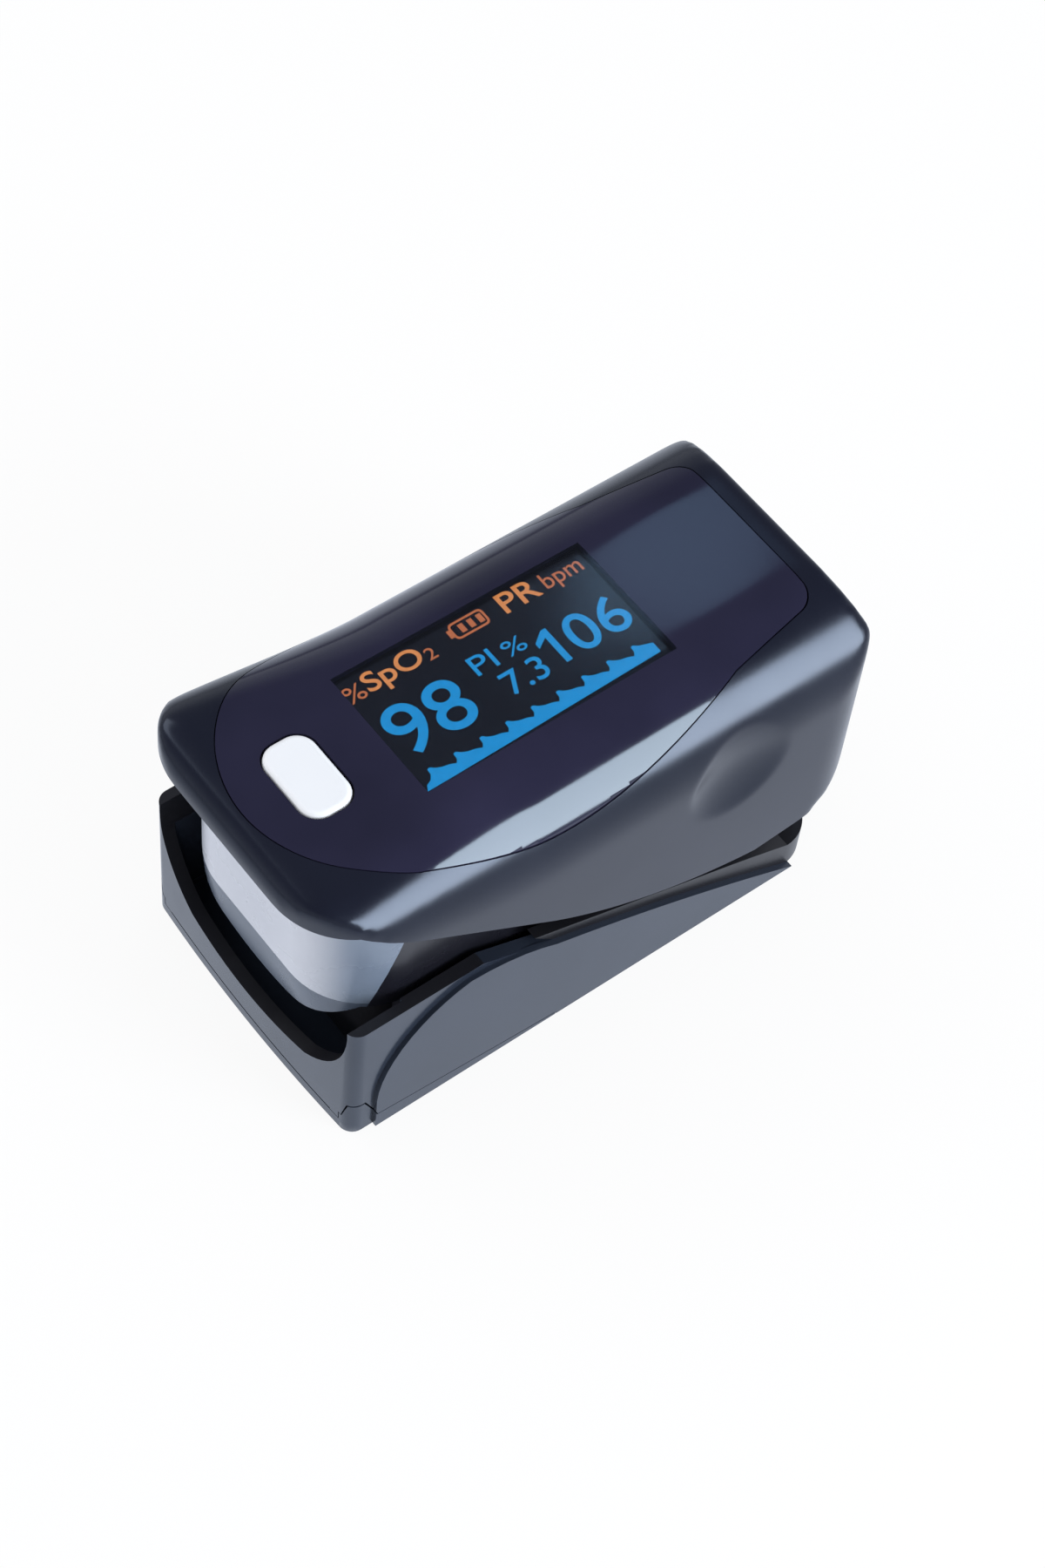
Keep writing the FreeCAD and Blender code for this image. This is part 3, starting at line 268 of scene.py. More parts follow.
def round_edges(piece, widths, segments):
    """Bevels edges, each to its own width; widths are pairs of a test on both ends and a width."""
    activate(piece)
    mesh = piece.data
    weights = mesh.attributes.new("bevel_weight_edge", "FLOAT", "EDGE")
    widest = max(width for _, width in widths)
    for edge in mesh.edges:
        ends = [mesh.vertices[index].co for index in edge.vertices]
        for test, width in widths:
            if test(*ends):
                weights.data[edge.index].value = width / widest
    bevel = piece.modifiers.new("round", "BEVEL")
    bevel.limit_method = "WEIGHT"
    bevel.width = widest
    bevel.segments = segments
    bevel.use_clamp_overlap = False
    bpy.ops.object.modifier_apply(modifier=bevel.name)
    mesh.attributes.remove(mesh.attributes["bevel_weight_edge"])
    return piece


def combine(piece, tool, how="DIFFERENCE", keep=False):
    """Cuts, joins or intersects with another solid."""
    activate(piece)
    change = piece.modifiers.new(how.lower(), "BOOLEAN")
    change.operation = how
    change.solver = "EXACT"
    change.object = tool
    bpy.ops.object.modifier_apply(modifier=change.name)
    if not keep:
        bpy.data.objects.remove(tool)
    return piece


def duplicate(piece, name):
    copied = piece.copy()
    copied.data = piece.data.copy()
    copied.name = name
    bpy.context.collection.objects.link(copied)
    return copied


def tidy_mesh(piece, gap):
    activate(piece)
    bpy.ops.object.mode_set(mode="EDIT")
    bpy.ops.mesh.select_all(action="SELECT")
    bpy.ops.mesh.remove_doubles(threshold=gap)
    bpy.ops.mesh.dissolve_degenerate(threshold=gap)
    bpy.ops.object.mode_set(mode="OBJECT")


def ease(piece, width, segments=2, angle=32):
    """Takes the sharpness off the moulded edges."""
    activate(piece)
    bevel = piece.modifiers.new("ease", "BEVEL")
    bevel.limit_method = "ANGLE"
    bevel.angle_limit = math.radians(angle)
    bevel.width = width
    bevel.segments = segments
    bevel.use_clamp_overlap = True
    bevel.miter_outer = "MITER_ARC"
    bpy.ops.object.modifier_apply(modifier=bevel.name)


def finish_piece(piece, body, material, smooth=35, stands_for=()):
    """Brings a piece from millimetres to metres, shades it and hands it to its body."""
    activate(piece)
    piece.scale = (MM, MM, MM)
    bpy.ops.object.transform_apply(location=True, rotation=True, scale=True)
    bpy.ops.object.shade_smooth_by_angle(angle=math.radians(smooth))
    level = piece.modifiers.new("level", "WEIGHTED_NORMAL")
    level.keep_sharp = True
    bpy.ops.object.modifier_apply(modifier=level.name)
    piece.data.materials.clear()
    piece.data.materials.append(material)
    if body:
        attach(piece, body)
    if stands_for:
        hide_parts(*stands_for)
    return piece


def new_material(name):
    """A material with one Principled shader and the object's own coordinates."""
    material = bpy.data.materials.new(name)
    material.use_nodes = True
    tree = material.node_tree
    shader = tree.nodes["Principled BSDF"]
    where = add_node(tree, "ShaderNodeTexCoord")
    return material, tree, shader, where.outputs["Object"]


def clouds(tree, where, scale, detail=3.0):
    """Slow noise on the object; scale is in features per metre."""
    noise = add_node(tree, "ShaderNodeTexNoise", Scale=scale, Detail=detail)
    link(tree, where, noise.inputs["Vector"])
    return noise.outputs["Fac"]


def two_tone(tree, factor, first, second):
    mix = add_node(tree, "ShaderNodeMix", data_type="RGBA")
    for socket in mix.inputs:
        if socket.name == "A" and socket.type == "RGBA":
            socket.default_value = (*first, 1)
        if socket.name == "B" and socket.type == "RGBA":
            socket.default_value = (*second, 1)
    link(tree, factor, mix.inputs["Factor"])
    return next(out for out in mix.outputs if out.type == "RGBA")


def spread(tree, factor, low, high):
    """Maps noise from its usual span to low and high."""
    change = add_node(tree, "ShaderNodeMapRange")
    change.inputs["From Min"].default_value = 0.3
    change.inputs["From Max"].default_value = 0.7
    change.inputs["To Min"].default_value = low
    change.inputs["To Max"].default_value = high
    link(tree, factor, change.inputs["Value"])
    return change.outputs["Result"]


def grain(tree, shader, height, depth):
    bump = add_node(tree, "ShaderNodeBump", Strength=0.6, Distance=depth)
    link(tree, height, bump.inputs["Height"])
    link(tree, bump.outputs["Normal"], shader.inputs["Normal"])


def moulded_plastic(name, light, dark, rough, grain_size, grain_depth, tint=(1, 1, 1), ior=1.5):
    """Moulded plastic: two close tones in slow clouds, gloss that wanders a little and a fine grain."""
    material, tree, shader, where = new_material(name)
    tone = two_tone(tree, spread(tree, clouds(tree, where, 70), 0, 1), light, dark)
    link(tree, tone, shader.inputs["Base Color"])
    link(tree, spread(tree, clouds(tree, where, 160), *rough), shader.inputs["Roughness"])
    grain(tree, shader, clouds(tree, where, 1 / grain_size, 2.0), grain_depth)
    shader.inputs["IOR"].default_value = ior
    shader.inputs["Specular Tint"].default_value = (*tint, 1)
    return material


cover_low, cover_high = limits("top_cover")
NOSE, TAIL, TOP = cover_low.x, cover_high.x, cover_high.z
COVER_HALF = cover_high.y
COVER_WALL = 2.0
BELLY_Z = 18.5
FOOT = (24.6, 7.5)
BROW_Z = TOP - 2.9
NOSE_CORNER, TAIL_CORNER = 8, 6
SHOULDER, NOSE_SHOULDER, SHOULDER_FULL_X, SHOULDER_CUTS = 9.2, 4.6, -8.0, 14


def rounded_plan(low, high, front_radius, back_radius, half, steps=12):
    """Plan outline of a rectangle along X with its own corner radius at each end."""
    cut = 1 - 0.5**0.5
    outline = []
    for x, way, radius in ((high, -1, back_radius), (low, 1, front_radius)):
        for side in (-way, way):
            straight = (x + way * radius, side * -half)
            via = (x + way * radius * cut, side * -(half - radius * cut))
            end = (x, side * -(half - radius))
            if side == -way:
                outline += [straight] + arc(straight, via, end, steps)
            else:
                outline += [end] + arc(end, via, straight, steps)
    return outline


def arch_outline(half, top, radius, steps=16):
    """End view of the cover's round shoulders."""
    bend = radius * (1 - 0.5**0.5)
    left, right = (-half, top - radius), (half - radius, top)
    outline = [(-half, -2.0), left] + arc(left, (-half + bend, top - bend), (-half + radius, top), steps)
    return outline + [right] + arc(right, (half - bend, top - bend), (half, top - radius), steps) + [(half, -2.0)]


def cover_block(name, inset):
    """Solid under the cover's skin: its side view, its plan and its shoulders in one."""
    nose, tail, top, half = NOSE + inset, TAIL - inset, TOP - inset, COVER_HALF - inset
    foot_x, foot_z = FOOT[0] - inset, FOOT[1]
    roll = max(2.4 - inset, 0.2)
    brink, rear_top = (nose, top - roll), (tail - 3.1, top)
    outline = [(nose, -2.0), brink] + arc(brink, (nose + roll * 0.3, top - roll * 0.3), (nose + roll, top), 8)
    outline += [rear_top] + arc(rear_top, (tail - 0.45, (top + BELLY_Z) / 2), (tail, BELLY_Z), 12)
    outline += arc((tail, BELLY_Z), ((tail + foot_x) / 2 + 1.6, (BELLY_Z + foot_z) / 2 - 1.2), (foot_x, foot_z), 8)
    solid = prism(name, outline + [(foot_x, -2.0)], "Y", -half - 1, half + 1)
    plan = rounded_plan(nose, tail, NOSE_CORNER - inset, TAIL_CORNER - inset, half)
    combine(solid, prism("plan", plan, "Z", -1, top + 1), "INTERSECT")
    full = arch_outline(half, top, SHOULDER - inset)
    narrow = arch_outline(half, top, NOSE_SHOULDER - inset)
    tunnel = prism("shoulders", full, "X", nose - 0.5, tail + 1)
    activate(tunnel)
    bpy.ops.object.mode_set(mode="EDIT")
    for step in range(SHOULDER_CUTS):
        cut_x = nose + (SHOULDER_FULL_X - nose) * (step + 1) / SHOULDER_CUTS
        bpy.ops.mesh.select_all(action="SELECT")
        bpy.ops.mesh.bisect(plane_co=(cut_x, 0, 0), plane_no=(1, 0, 0))
    bpy.ops.object.mode_set(mode="OBJECT")
    for vertex in tunnel.data.vertices:
        share = min(max((SHOULDER_FULL_X - vertex.co.x) / (SHOULDER_FULL_X - nose), 0.0), 1.0)
        share *= 0.5 + share * (1.5 - share)
        number = min(range(len(full)), key=lambda n: math.dist(full[n], (vertex.co.y, vertex.co.z)))
        vertex.co.y += share * (narrow[number][0] - full[number][0])
        vertex.co.z += share * (narrow[number][1] - full[number][1])
    return combine(solid, tunnel, "INTERSECT")


def soften(piece, cell, passes):
    """Runs an even skin over a solid and relaxes it, so that every crease becomes a small blend."""
    activate(piece)
    skin = piece.modifiers.new("skin", "REMESH")
    skin.mode = "VOXEL"
    skin.voxel_size = cell
    bpy.ops.object.modifier_apply(modifier=skin.name)
    relax = piece.modifiers.new("relax", "SMOOTH")
    relax.factor = 0.5
    relax.iterations = passes
    bpy.ops.object.modifier_apply(modifier=relax.name)
    return piece


def cheek_line():
    """The cover's lower edge: level under the visor, then falling along the cheeks."""
    bend, sweep, low = (-6.3, 16.3), (8.2, 9.2), (17.6, 6.8)
    return [
        (NOSE - 1, BROW_Z),
        (NOSE + 3.9, BROW_Z),
        (NOSE + 5.4, BROW_Z - 0.9),
        bend,
        *arc(bend, sweep, low, 14),
        (FOOT[0], FOOT[1] - 0.05),
        (FOOT[0] + 8, FOOT[1] + 1.2),
    ]


def finger_mouth(name, low_x, high_x, half, corner, top_z):
    """Arched opening for the finger."""
    arch = box(name, (low_x, -half, -3), (high_x, half, top_z))

    def ridge(a, b):
        return abs(a.y - b.y) < 0.01 and min(a.z, b.z) > top_z - 0.01 and abs(a.x - b.x) > 1

    return round_edges(arch, ((ridge, corner),), 10)


def leaf(name, grow, low_z, high_z):
    """Prism under the leaf-shaped window."""
    shoulder, widest, waist = (-19.5, 12.2 + grow), (-3.7, 14.0 + grow), (15.0, 10.9 + grow)
    tail_x, tail_y, corner = 25.0 + grow, 9.3 + grow, 1.6
    turn = (tail_x - corner, tail_y + corner / 8)
    bend = corner * (1 - 0.5**0.5)
    nose = (NOSE + 1.85 - grow, 0.0)
    half_outline = [shoulder] + arc(shoulder, widest, waist, 30) + [turn]
    half_outline += arc(turn, (tail_x - bend, tail_y - bend), (tail_x, tail_y - corner), 6)
    other = [(x, -y) for x, y in reversed(half_outline)]
    front = arc((shoulder[0], -shoulder[1]), nose, shoulder, 40)[:-1]
    return prism(name, half_outline + other + front, "Z", low_z, high_z)


def button_plug(name, grow, low_z, high_z):
    """Rounded rectangle of the power button in plan."""
    half_x, half_y = 2.5 + grow, 4.2 + grow
    middle = -22.0
    plug = box(name, (middle - half_x, -half_y, low_z), (middle + half_x, half_y, high_z))

    def corner(a, b):
        return abs(a.z - b.z) > 0.5

    return round_edges(plug, ((corner, 1.9 + grow),), 10)


outer = soften(cover_block("cover_outer", 0), 0.42, 14)
DIMPLE, DIMPLE_RADIUS, DIMPLE_DEPTH, DIMPLE_LIP = (13.4, 22.5), 5.4, 1.0, 0.09
ball = (DIMPLE_RADIUS**2 + DIMPLE_DEPTH**2) / (2 * DIMPLE_DEPTH)
for vertex in outer.data.vertices:
    reach = math.dist((vertex.co.x, vertex.co.z), DIMPLE)
    if reach < DIMPLE_RADIUS + 2 and abs(vertex.co.y) > COVER_HALF - 2:
        sink = math.sqrt(ball**2 - reach**2) - ball + DIMPLE_DEPTH
        sink = (sink + math.hypot(sink, DIMPLE_LIP)) / 2
        vertex.co.y -= math.copysign(sink, vertex.co.y)
cover = duplicate(outer, "cover_shell")
combine(cover, prism("under_cheeks", cheek_line() + [(34, -4), (NOSE - 1, -4)], "Y", -20, 20))
combine(cover, cover_block("cover_inner", COVER_WALL))
combine(cover, finger_mouth("mouth", FOOT[0] - 3, TAIL + 1, 11.95, 5.0, 21.7))
WINDOW_THICKNESS = 1.1
recess = leaf("recess", 0, 21.9, 40)
combine(recess, cover_block("recess_floor", WINDOW_THICKNESS + 0.05))
combine(cover, recess)
oled_low, oled_high = limits("oled_display")
VIEW_X, VIEW_Y = 13.1, 6.9
oled_x = (oled_low.x + oled_high.x) / 2
pocket_low = (oled_low.x - 0.1, oled_low.y - 0.1, 26)
combine(cover, box("display_pocket", pocket_low, (oled_high.x + 0.1, oled_high.y + 0.1, 40)))
combine(cover, button_plug("button_hole", 0.15, 26, 40))

navy_gloss = moulded_plastic(
    "navy_gloss_abs", (0.005, 0.006, 0.012), (0.008, 0.009, 0.017), (0.20, 0.25), 0.0004, 0.000003,
    tint=(0.72, 0.82, 1.0), ior=1.5,
)
finish_piece(cover, "upper_jaw", navy_gloss, stands_for=["top_cover"])

# ---------------------------------------------------------------------------
# Display window: a leaf of clear acrylic pressed flush into the cover.
# Its back is printed near-black, except over the display.
# ---------------------------------------------------------------------------

window = duplicate(outer, "window_pane")
combine(window, cover_block("pane_floor", WINDOW_THICKNESS))
combine(window, leaf("pane_outline", -0.1, 21.9, 40), "INTERSECT")
combine(window, button_plug("pane_hole", 0.15, 20, 40))

acrylic, tree, shader, where = new_material("smoked_acrylic")
split = add_node(tree, "ShaderNodeSeparateXYZ")
link(tree, where, split.inputs["Vector"])


def inside(tree, value, middle, half):
    """1 where a coordinate lies within half of a middle, else 0."""
    away = add_node(tree, "ShaderNodeMath", operation="SUBTRACT")
    away.inputs[1].default_value = middle
    size = add_node(tree, "ShaderNodeMath", operation="ABSOLUTE")
    near = add_node(tree, "ShaderNodeMath", operation="LESS_THAN")
    near.inputs[1].default_value = half
    link(tree, value, away.inputs[0])
    link(tree, away.outputs["Value"], size.inputs[0])
    link(tree, size.outputs["Value"], near.inputs[0])
    return near.outputs["Value"]


across_x = inside(tree, split.outputs["X"], oled_x * MM, VIEW_X * MM)
across_y = inside(tree, split.outputs["Y"], 0.0, VIEW_Y * MM)
clear = add_node(tree, "ShaderNodeMath", operation="MULTIPLY")
link(tree, across_x, clear.inputs[0])
link(tree, across_y, clear.inputs[1])
ink_clouds = spread(tree, clouds(tree, where, 60), 0, 1)
print_tone = two_tone(tree, ink_clouds, (0.012, 0.011, 0.026), (0.020, 0.018, 0.042))
tone = add_node(tree, "ShaderNodeMix", data_type="RGBA")
colours = [socket for socket in tone.inputs if socket.type == "RGBA"]
colours[1].default_value = (0.93, 0.94, 0.97, 1)
link(tree, clear.outputs["Value"], tone.inputs["Factor"])
link(tree, print_tone, colours[0])
link(tree, next(out for out in tone.outputs if out.type == "RGBA"), shader.inputs["Base Color"])
link(tree, clear.outputs["Value"], shader.inputs["Transmission Weight"])
link(tree, spread(tree, clouds(tree, where, 120), 0.085, 0.115), shader.inputs["Roughness"])
grain(tree, shader, clouds(tree, where, 900, 1.0), 0.000002)
shader.inputs["IOR"].default_value = 1.52
shader.inputs["Specular Tint"].default_value = (0.80, 0.92, 1.0, 1)
finish_piece(window, "upper_jaw", acrylic, stands_for=["display_window"])
bpy.data.objects.remove(outer)

# ---------------------------------------------------------------------------
# Power button: a white ABS cap in the nose of the window, slightly crowned.
# ---------------------------------------------------------------------------

button_low, button_high = limits("power_button")
button = button_plug("button_cap", 0.0, 29.9, button_high.z)


def cap_rim(a, b):
    return min(a.z, b.z) > button_high.z - 0.01


round_edges(button, ((cap_rim, 0.55),), 5)
flange = button_plug("button_flange", 0.8, button_low.z + 1.1, 30.9)
combine(button, flange, "UNION")
bpy.ops.object.select_all(action="DESELECT")
bpy.ops.mesh.primitive_cylinder_add(vertices=40, radius=1.3, depth=2.0, location=(-22.0, 0, button_low.z + 1.0))
combine(button, bpy.context.object, "UNION")
tidy_mesh(button, 0.01)
white_cap = moulded_plastic(
    "white_button_abs", (0.80, 0.82, 0.85), (0.86, 0.87, 0.90), (0.34, 0.42), 0.0003, 0.000006
)
finish_piece(button, "button", white_cap, stands_for=["power_button"])

# ---------------------------------------------------------------------------
# Display: a small two-colour panel glued to the back of the window. The lit
# readings are thin figures on its glass: captions in amber, values in blue.
# ---------------------------------------------------------------------------

panel_glass = moulded_plastic(
    "display_glass", (0.002, 0.002, 0.003), (0.004, 0.004, 0.006), (0.25, 0.35), 0.0005, 0.000001, ior=1.1
)
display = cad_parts["oled_display"]
display.data.materials.clear()
display.data.materials.append(panel_glass)


def lit_pixels(name, colour, strength):
    """Glowing display cells: brightness flickers a little from cell to cell."""
    material, tree, shader, where = new_material(name)
    tone = two_tone(tree, spread(tree, clouds(tree, where, 2500, 1.0), 0, 1), colour, [0.88 * c for c in colour])
    shader.inputs["Base Color"].default_value = (0.01, 0.01, 0.01, 1)
    link(tree, tone, shader.inputs["Emission Color"])
    shader.inputs["Emission Strength"].default_value = strength
    link(tree, spread(tree, clouds(tree, where, 900), 0.3, 0.4), shader.inputs["Roughness"])
    return material


blue_cells = lit_pixels("blue_cells", (0.0, 0.26, 0.62), 1.1)
amber_cells = lit_pixels("amber_cells", (0.78, 0.29, 0.08), 0.95)
faint_amber_cells = lit_pixels("faint_amber_cells", (0.55, 0.16, 0.05), 0.95)
glass_z = oled_high.z + 0.01
CELL_DEPTH = 0.03


def figures(name, text, left, base, cap_height, width, weight, material):
    """Reading drawn from its lower left corner, with its cap height and whole width."""
    bpy.ops.object.select_all(action="DESELECT")
    bpy.ops.object.text_add(location=(0, 0, 0))
    piece = bpy.context.object
    piece.name = name
    piece.data.body = text
    piece.data.size = 10.0
    piece.data.offset = weight
    piece.data.resolution_u = 6
    piece.data.extrude = 0.5
    bpy.ops.object.convert(target="MESH")
    corners = [vertex.co for vertex in piece.data.vertices]
    low = Vector((min(c.x for c in corners), 0, min(c.z for c in corners)))
    wide = max(c.x for c in corners) - low.x
    tall = max(c.y for c in corners)
    piece.location = -low
    bpy.ops.object.transform_apply(location=True, rotation=True, scale=True)
    piece.scale = (width / wide, cap_height / tall, CELL_DEPTH)
    piece.location = (oled_x + left, base, glass_z)
    bpy.ops.object.transform_apply(location=True, rotation=True, scale=True)
    tidy_mesh(piece, 0.001)
    return finish_piece(piece, "upper_jaw", material, smooth=20)


figures("reading_oxygen", "98", -11.9, -2.75, 5.2, 7.8, 0.06, blue_cells)
figures("reading_pulse", "06", 6.6, -2.25, 3.9, 6.0, 0.06, blue_cells)
figures("reading_index", "7.3", -0.9, -2.5, 2.4, 4.2, 0.04, blue_cells)
figures("caption_index", "PI", -2.1, 0.75, 2.0, 2.3, 0.0, blue_cells)
figures("caption_index_percent", "%", 1.2, 0.85, 1.6, 2.1, 0.0, blue_cells)
figures("caption_percent", "%", -12.75, 4.35, 1.7, 1.9, 0.0, faint_amber_cells)
figures("caption_oxygen", "SpO", -10.6, 4.5, 2.0, 5.8, 0.10, amber_cells)
figures("caption_oxygen_two", "2", -4.5, 4.35, 1.25, 0.9, 0.0, faint_amber_cells)
figures("caption_pulse", "PR", 3.9, 4.7, 2.1, 3.9, 0.08, amber_cells)
figures("caption_pulse_unit", "bpm", 8.4, 4.85, 1.65, 4.0, 0.0, faint_amber_cells)


def cells(name, outline, material):
    """Flat lit area with a given outline, on the display's glass."""
    outline = [(oled_x + x, y) for x, y in outline]
    piece = prism(name, outline, "Z", glass_z, glass_z + CELL_DEPTH)
    return finish_piece(piece, "upper_jaw", material, smooth=20)


HUNDRED = [(5.0, -2.25), (5.6, -2.25), (5.6, 1.65), (5.1, 1.65), (3.9, 0.75), (3.9, 0.15), (5.0, 0.85)]
cells("reading_pulse_hundred", HUNDRED, blue_cells)
BEATS, BEAT_LENGTH, WAVE_START, WAVE_LEAN = 9, 2.72, -12.6, 0.018
WAVE_FALL = ((0.0, -5.05), (0.05, -4.5), (0.35, -4.45), (0.65, -4.75), (1.2, -5.0), (1.9, -5.15), (2.45, -5.4))
wave = [(WAVE_START, -6.25), (-12.3, -5.75), (-11.75, -5.5)]
for beat in range(BEATS):
    whole = beat < BEATS - 1
    wave += [(-11.4 + beat * BEAT_LENGTH + along, high) for along, high in WAVE_FALL if whole or along < 1]
wave += [(12.3, -5.2), (12.3, -6.25)]
wave = [(x, y + WAVE_LEAN * (x - WAVE_START)) for x, y in wave]
cells("reading_wave", wave, blue_cells)


def plate_outline(left, low, right, high, corner):
    steps = ((right, low), (right, high), (left, high), (left, low))
    ways = ((-1, 1), (-1, -1), (1, -1), (1, 1))
    outline = []
    for number, ((x, y), (toward_x, toward_y)) in enumerate(zip(steps, ways)):
        middle = (x + toward_x * corner, y + toward_y * corner)
        start = -90 + 90 * number
        for turn in (0, 30, 60, 90):
            angle = math.radians(start + turn)
            outline.append((middle[0] + corner * math.cos(angle), middle[1] + corner * math.sin(angle)))
    return outline


BATTERY = (-1.3, 4.75, 2.3, 6.55)
rim = prism(
    "icon_battery", [(oled_x + x, y) for x, y in plate_outline(*BATTERY, 0.45)], "Z", glass_z, glass_z + CELL_DEPTH
)
hollow = [BATTERY[0] + 0.2, BATTERY[1] + 0.2, BATTERY[2] - 0.2, BATTERY[3] - 0.2]
combine(rim, prism("icon_hollow", [(oled_x + x, y) for x, y in plate_outline(*hollow, 0.3)], "Z", 20, 40))
for left in (-0.45, 0.5, 1.45):
    bar_low = (oled_x + left, BATTERY[1] + 0.45, glass_z)
    bar_high = (oled_x + left + 0.5, BATTERY[3] - 0.45, glass_z + CELL_DEPTH)
    combine(rim, box("icon_bar", bar_low, bar_high), "UNION")
knob = (oled_x + BATTERY[0] - 0.35, 5.2, glass_z), (oled_x + BATTERY[0] + 0.05, 6.05, glass_z + CELL_DEPTH)
combine(rim, box("icon_knob", *knob), "UNION")
finish_piece(rim, "upper_jaw", faint_amber_cells, smooth=20)

# ---------------------------------------------------------------------------
# Upper housing: the moulding under the cover. Its front skirt is painted silver
# and tucks in below a crease; the sides and the tail stay black. Round the front
# corners the silver darkens to blue-grey, which is painted shade. It holds the
# circuit board above the finger and carries the hinge cheeks.
# ---------------------------------------------------------------------------

housing_low = limits("upper_housing")[0]
SKIRT_X, HOUSING_TAIL, HOUSING_HALF = housing_low.x, 27.4, 12.9
CREASE_Z, SKIRT_TUCK, SKIRT_LOW_Z = 14.6, 0.6, 9.0
CEILING = (21.9, 22.9)


def housing_block(name, inset, front_inset):
    front, tail, half = SKIRT_X + front_inset, HOUSING_TAIL - inset, HOUSING_HALF - inset
    if inset:
        low = [(front + SKIRT_TUCK, SKIRT_LOW_Z), (front + SKIRT_TUCK, -3), (tail, -3)]
    else:
        low = [
            (front + SKIRT_TUCK, SKIRT_LOW_Z), (-21.0, SKIRT_LOW_Z), (-21.0, 13.0), (-2.8, 12.8),
            (9.6, 9.3), (22.3, 3.8), (26.3, 3.8), (tail, 8.5),
        ]
    solid = prism(name, [(front, 33), (front, CREASE_Z), *low, (tail, 33)], "Y", -half, half)
    tiny = 0.01

    def front_post(a, b):
        upright = abs(abs(a.y) - half) < tiny and abs(a.y - b.y) < tiny
        return upright and max(a.x, b.x) < front + SKIRT_TUCK + tiny

    def tail_post(a, b):
        return abs(abs(a.y) - half) < tiny and abs(a.y - b.y) < tiny and min(a.x, b.x) > 25.4

    return round_edges(solid, ((front_post, 7.5 - front_inset), (tail_post, 4.0 - inset)), 14)


housing = housing_block("housing_shell", 0, 0)
combine(housing, cover_block("housing_limit", COVER_WALL + 0.1), "INTERSECT")
ARCH = (11.5, 14.2)
bow = [ARCH] + arc(ARCH, (0.0, SKIRT_LOW_Z), (-ARCH[0], ARCH[1]), 24)
below = [(20, -6), (20, ARCH[1]), *bow, (-20, ARCH[1]), (-20, -6)]
combine(housing, prism("skirt_arch", below, "X", -40, -21.02))
hollow = housing_block("housing_inner", 0.9, 1.0)
ceiling = box("ceiling", (-40, -40, CEILING[0]), (40, 40, CEILING[1]))
combine(hollow, ceiling)
combine(housing, hollow)
combine(housing, finger_mouth("housing_mouth", 23.6, 31, 12.05, 5.1, 21.95))
bpy.ops.object.select_all(action="DESELECT")
bpy.ops.mesh.primitive_cylinder_add(
    vertices=48, radius=1.05, depth=30, location=(0, 0, 16.0), rotation=(math.pi / 2, 0, 0)
)
combine(housing, bpy.context.object)
tidy_mesh(housing, 0.01)
ease(housing, 0.16)

skirt_tones_and_shade, tree, shader, where = new_material("silver_black_abs_corner_shade")
split = add_node(tree, "ShaderNodeSeparateXYZ")
link(tree, where, split.inputs["Vector"])


def above(tree, value, limit):
    """1 where a value is greater than a limit, else 0."""
    step = add_node(tree, "ShaderNodeMath", operation="GREATER_THAN")
    step.inputs[1].default_value = limit
    link(tree, value, step.inputs[0])
    return step.outputs["Value"]


def pick(tree, factor, first, second):
    """One colour output where the factor is 0 and another where it is 1."""
    mix = add_node(tree, "ShaderNodeMix", data_type="RGBA")
    colours = [socket for socket in mix.inputs if socket.type == "RGBA"]
    link(tree, factor, mix.inputs["Factor"])
    link(tree, first, colours[0])
    link(tree, second, colours[1])
    return next(out for out in mix.outputs if out.type == "RGBA")


silver = two_tone(tree, spread(tree, clouds(tree, where, 80), 0, 1), (0.42, 0.44, 0.50), (0.47, 0.49, 0.55))
# Blue-grey painted shade for the front corners, where less light falls.
corner_painted_shade = two_tone(tree, spread(tree, clouds(tree, where, 80), 0, 1), (0.14, 0.17, 0.23), (0.16, 0.20, 0.26))
slate = two_tone(tree, spread(tree, clouds(tree, where, 80), 0, 1), (0.055, 0.072, 0.105), (0.068, 0.088, 0.125))
black = two_tone(tree, spread(tree, clouds(tree, where, 90), 0, 1), (0.008, 0.008, 0.012), (0.012, 0.012, 0.018))
# Ramp along X from the silver front into the painted corner shade.
turn = add_node(tree, "ShaderNodeMapRange")
turn.interpolation_type = "SMOOTHSTEP"
turn.inputs["From Min"].default_value = -0.0274
turn.inputs["From Max"].default_value = -0.0248
link(tree, split.outputs["X"], turn.inputs["Value"])
silver_with_corner_shade = pick(tree, turn.outputs["Result"], silver, corner_painted_shade)
skirt = pick(tree, above(tree, split.outputs["Z"], 0.0147), slate, silver_with_corner_shade)
lean = add_node(tree, "ShaderNodeMath", operation="MULTIPLY_ADD")
lean.inputs[1].default_value = -0.3
link(tree, split.outputs["Z"], lean.inputs[0])
link(tree, split.outputs["X"], lean.inputs[2])
tone = pick(tree, above(tree, lean.outputs["Value"], -0.028), skirt, black)
link(tree, tone, shader.inputs["Base Color"])
link(tree, spread(tree, clouds(tree, where, 200), 0.24, 0.32), shader.inputs["Roughness"])
grain(tree, shader, clouds(tree, where, 3000, 2.0), 0.000004)
finish_piece(housing, "upper_jaw", skirt_tones_and_shade, stands_for=["upper_housing"])

# ---------------------------------------------------------------------------
# Lower shell: slate gloss moulding with a U-shaped dip at the front and a raised
# leaf-like wing on each side that sweeps down to the tail. The rim of the dip
# and the inner walls behind it are painted near-black as shade, picked by which way each face points.
# ---------------------------------------------------------------------------

SHELL_FRONT, SHELL_BACK, SHELL_HALF = limits("lower_shell")[0].x, 26.4, 15.0
SHELL_BOW, SHELL_CORNER, TAIL_ROUND = 0.5, 1.4, 4.0
WING_CROWN, WING_FALL, WING_SWEEP, WING_END = (-15.5, 15.5), (-6.0, 12.8), (9.0, 6.7), (22.9, 0.0)
wing_start = (-24.9, 3.0)


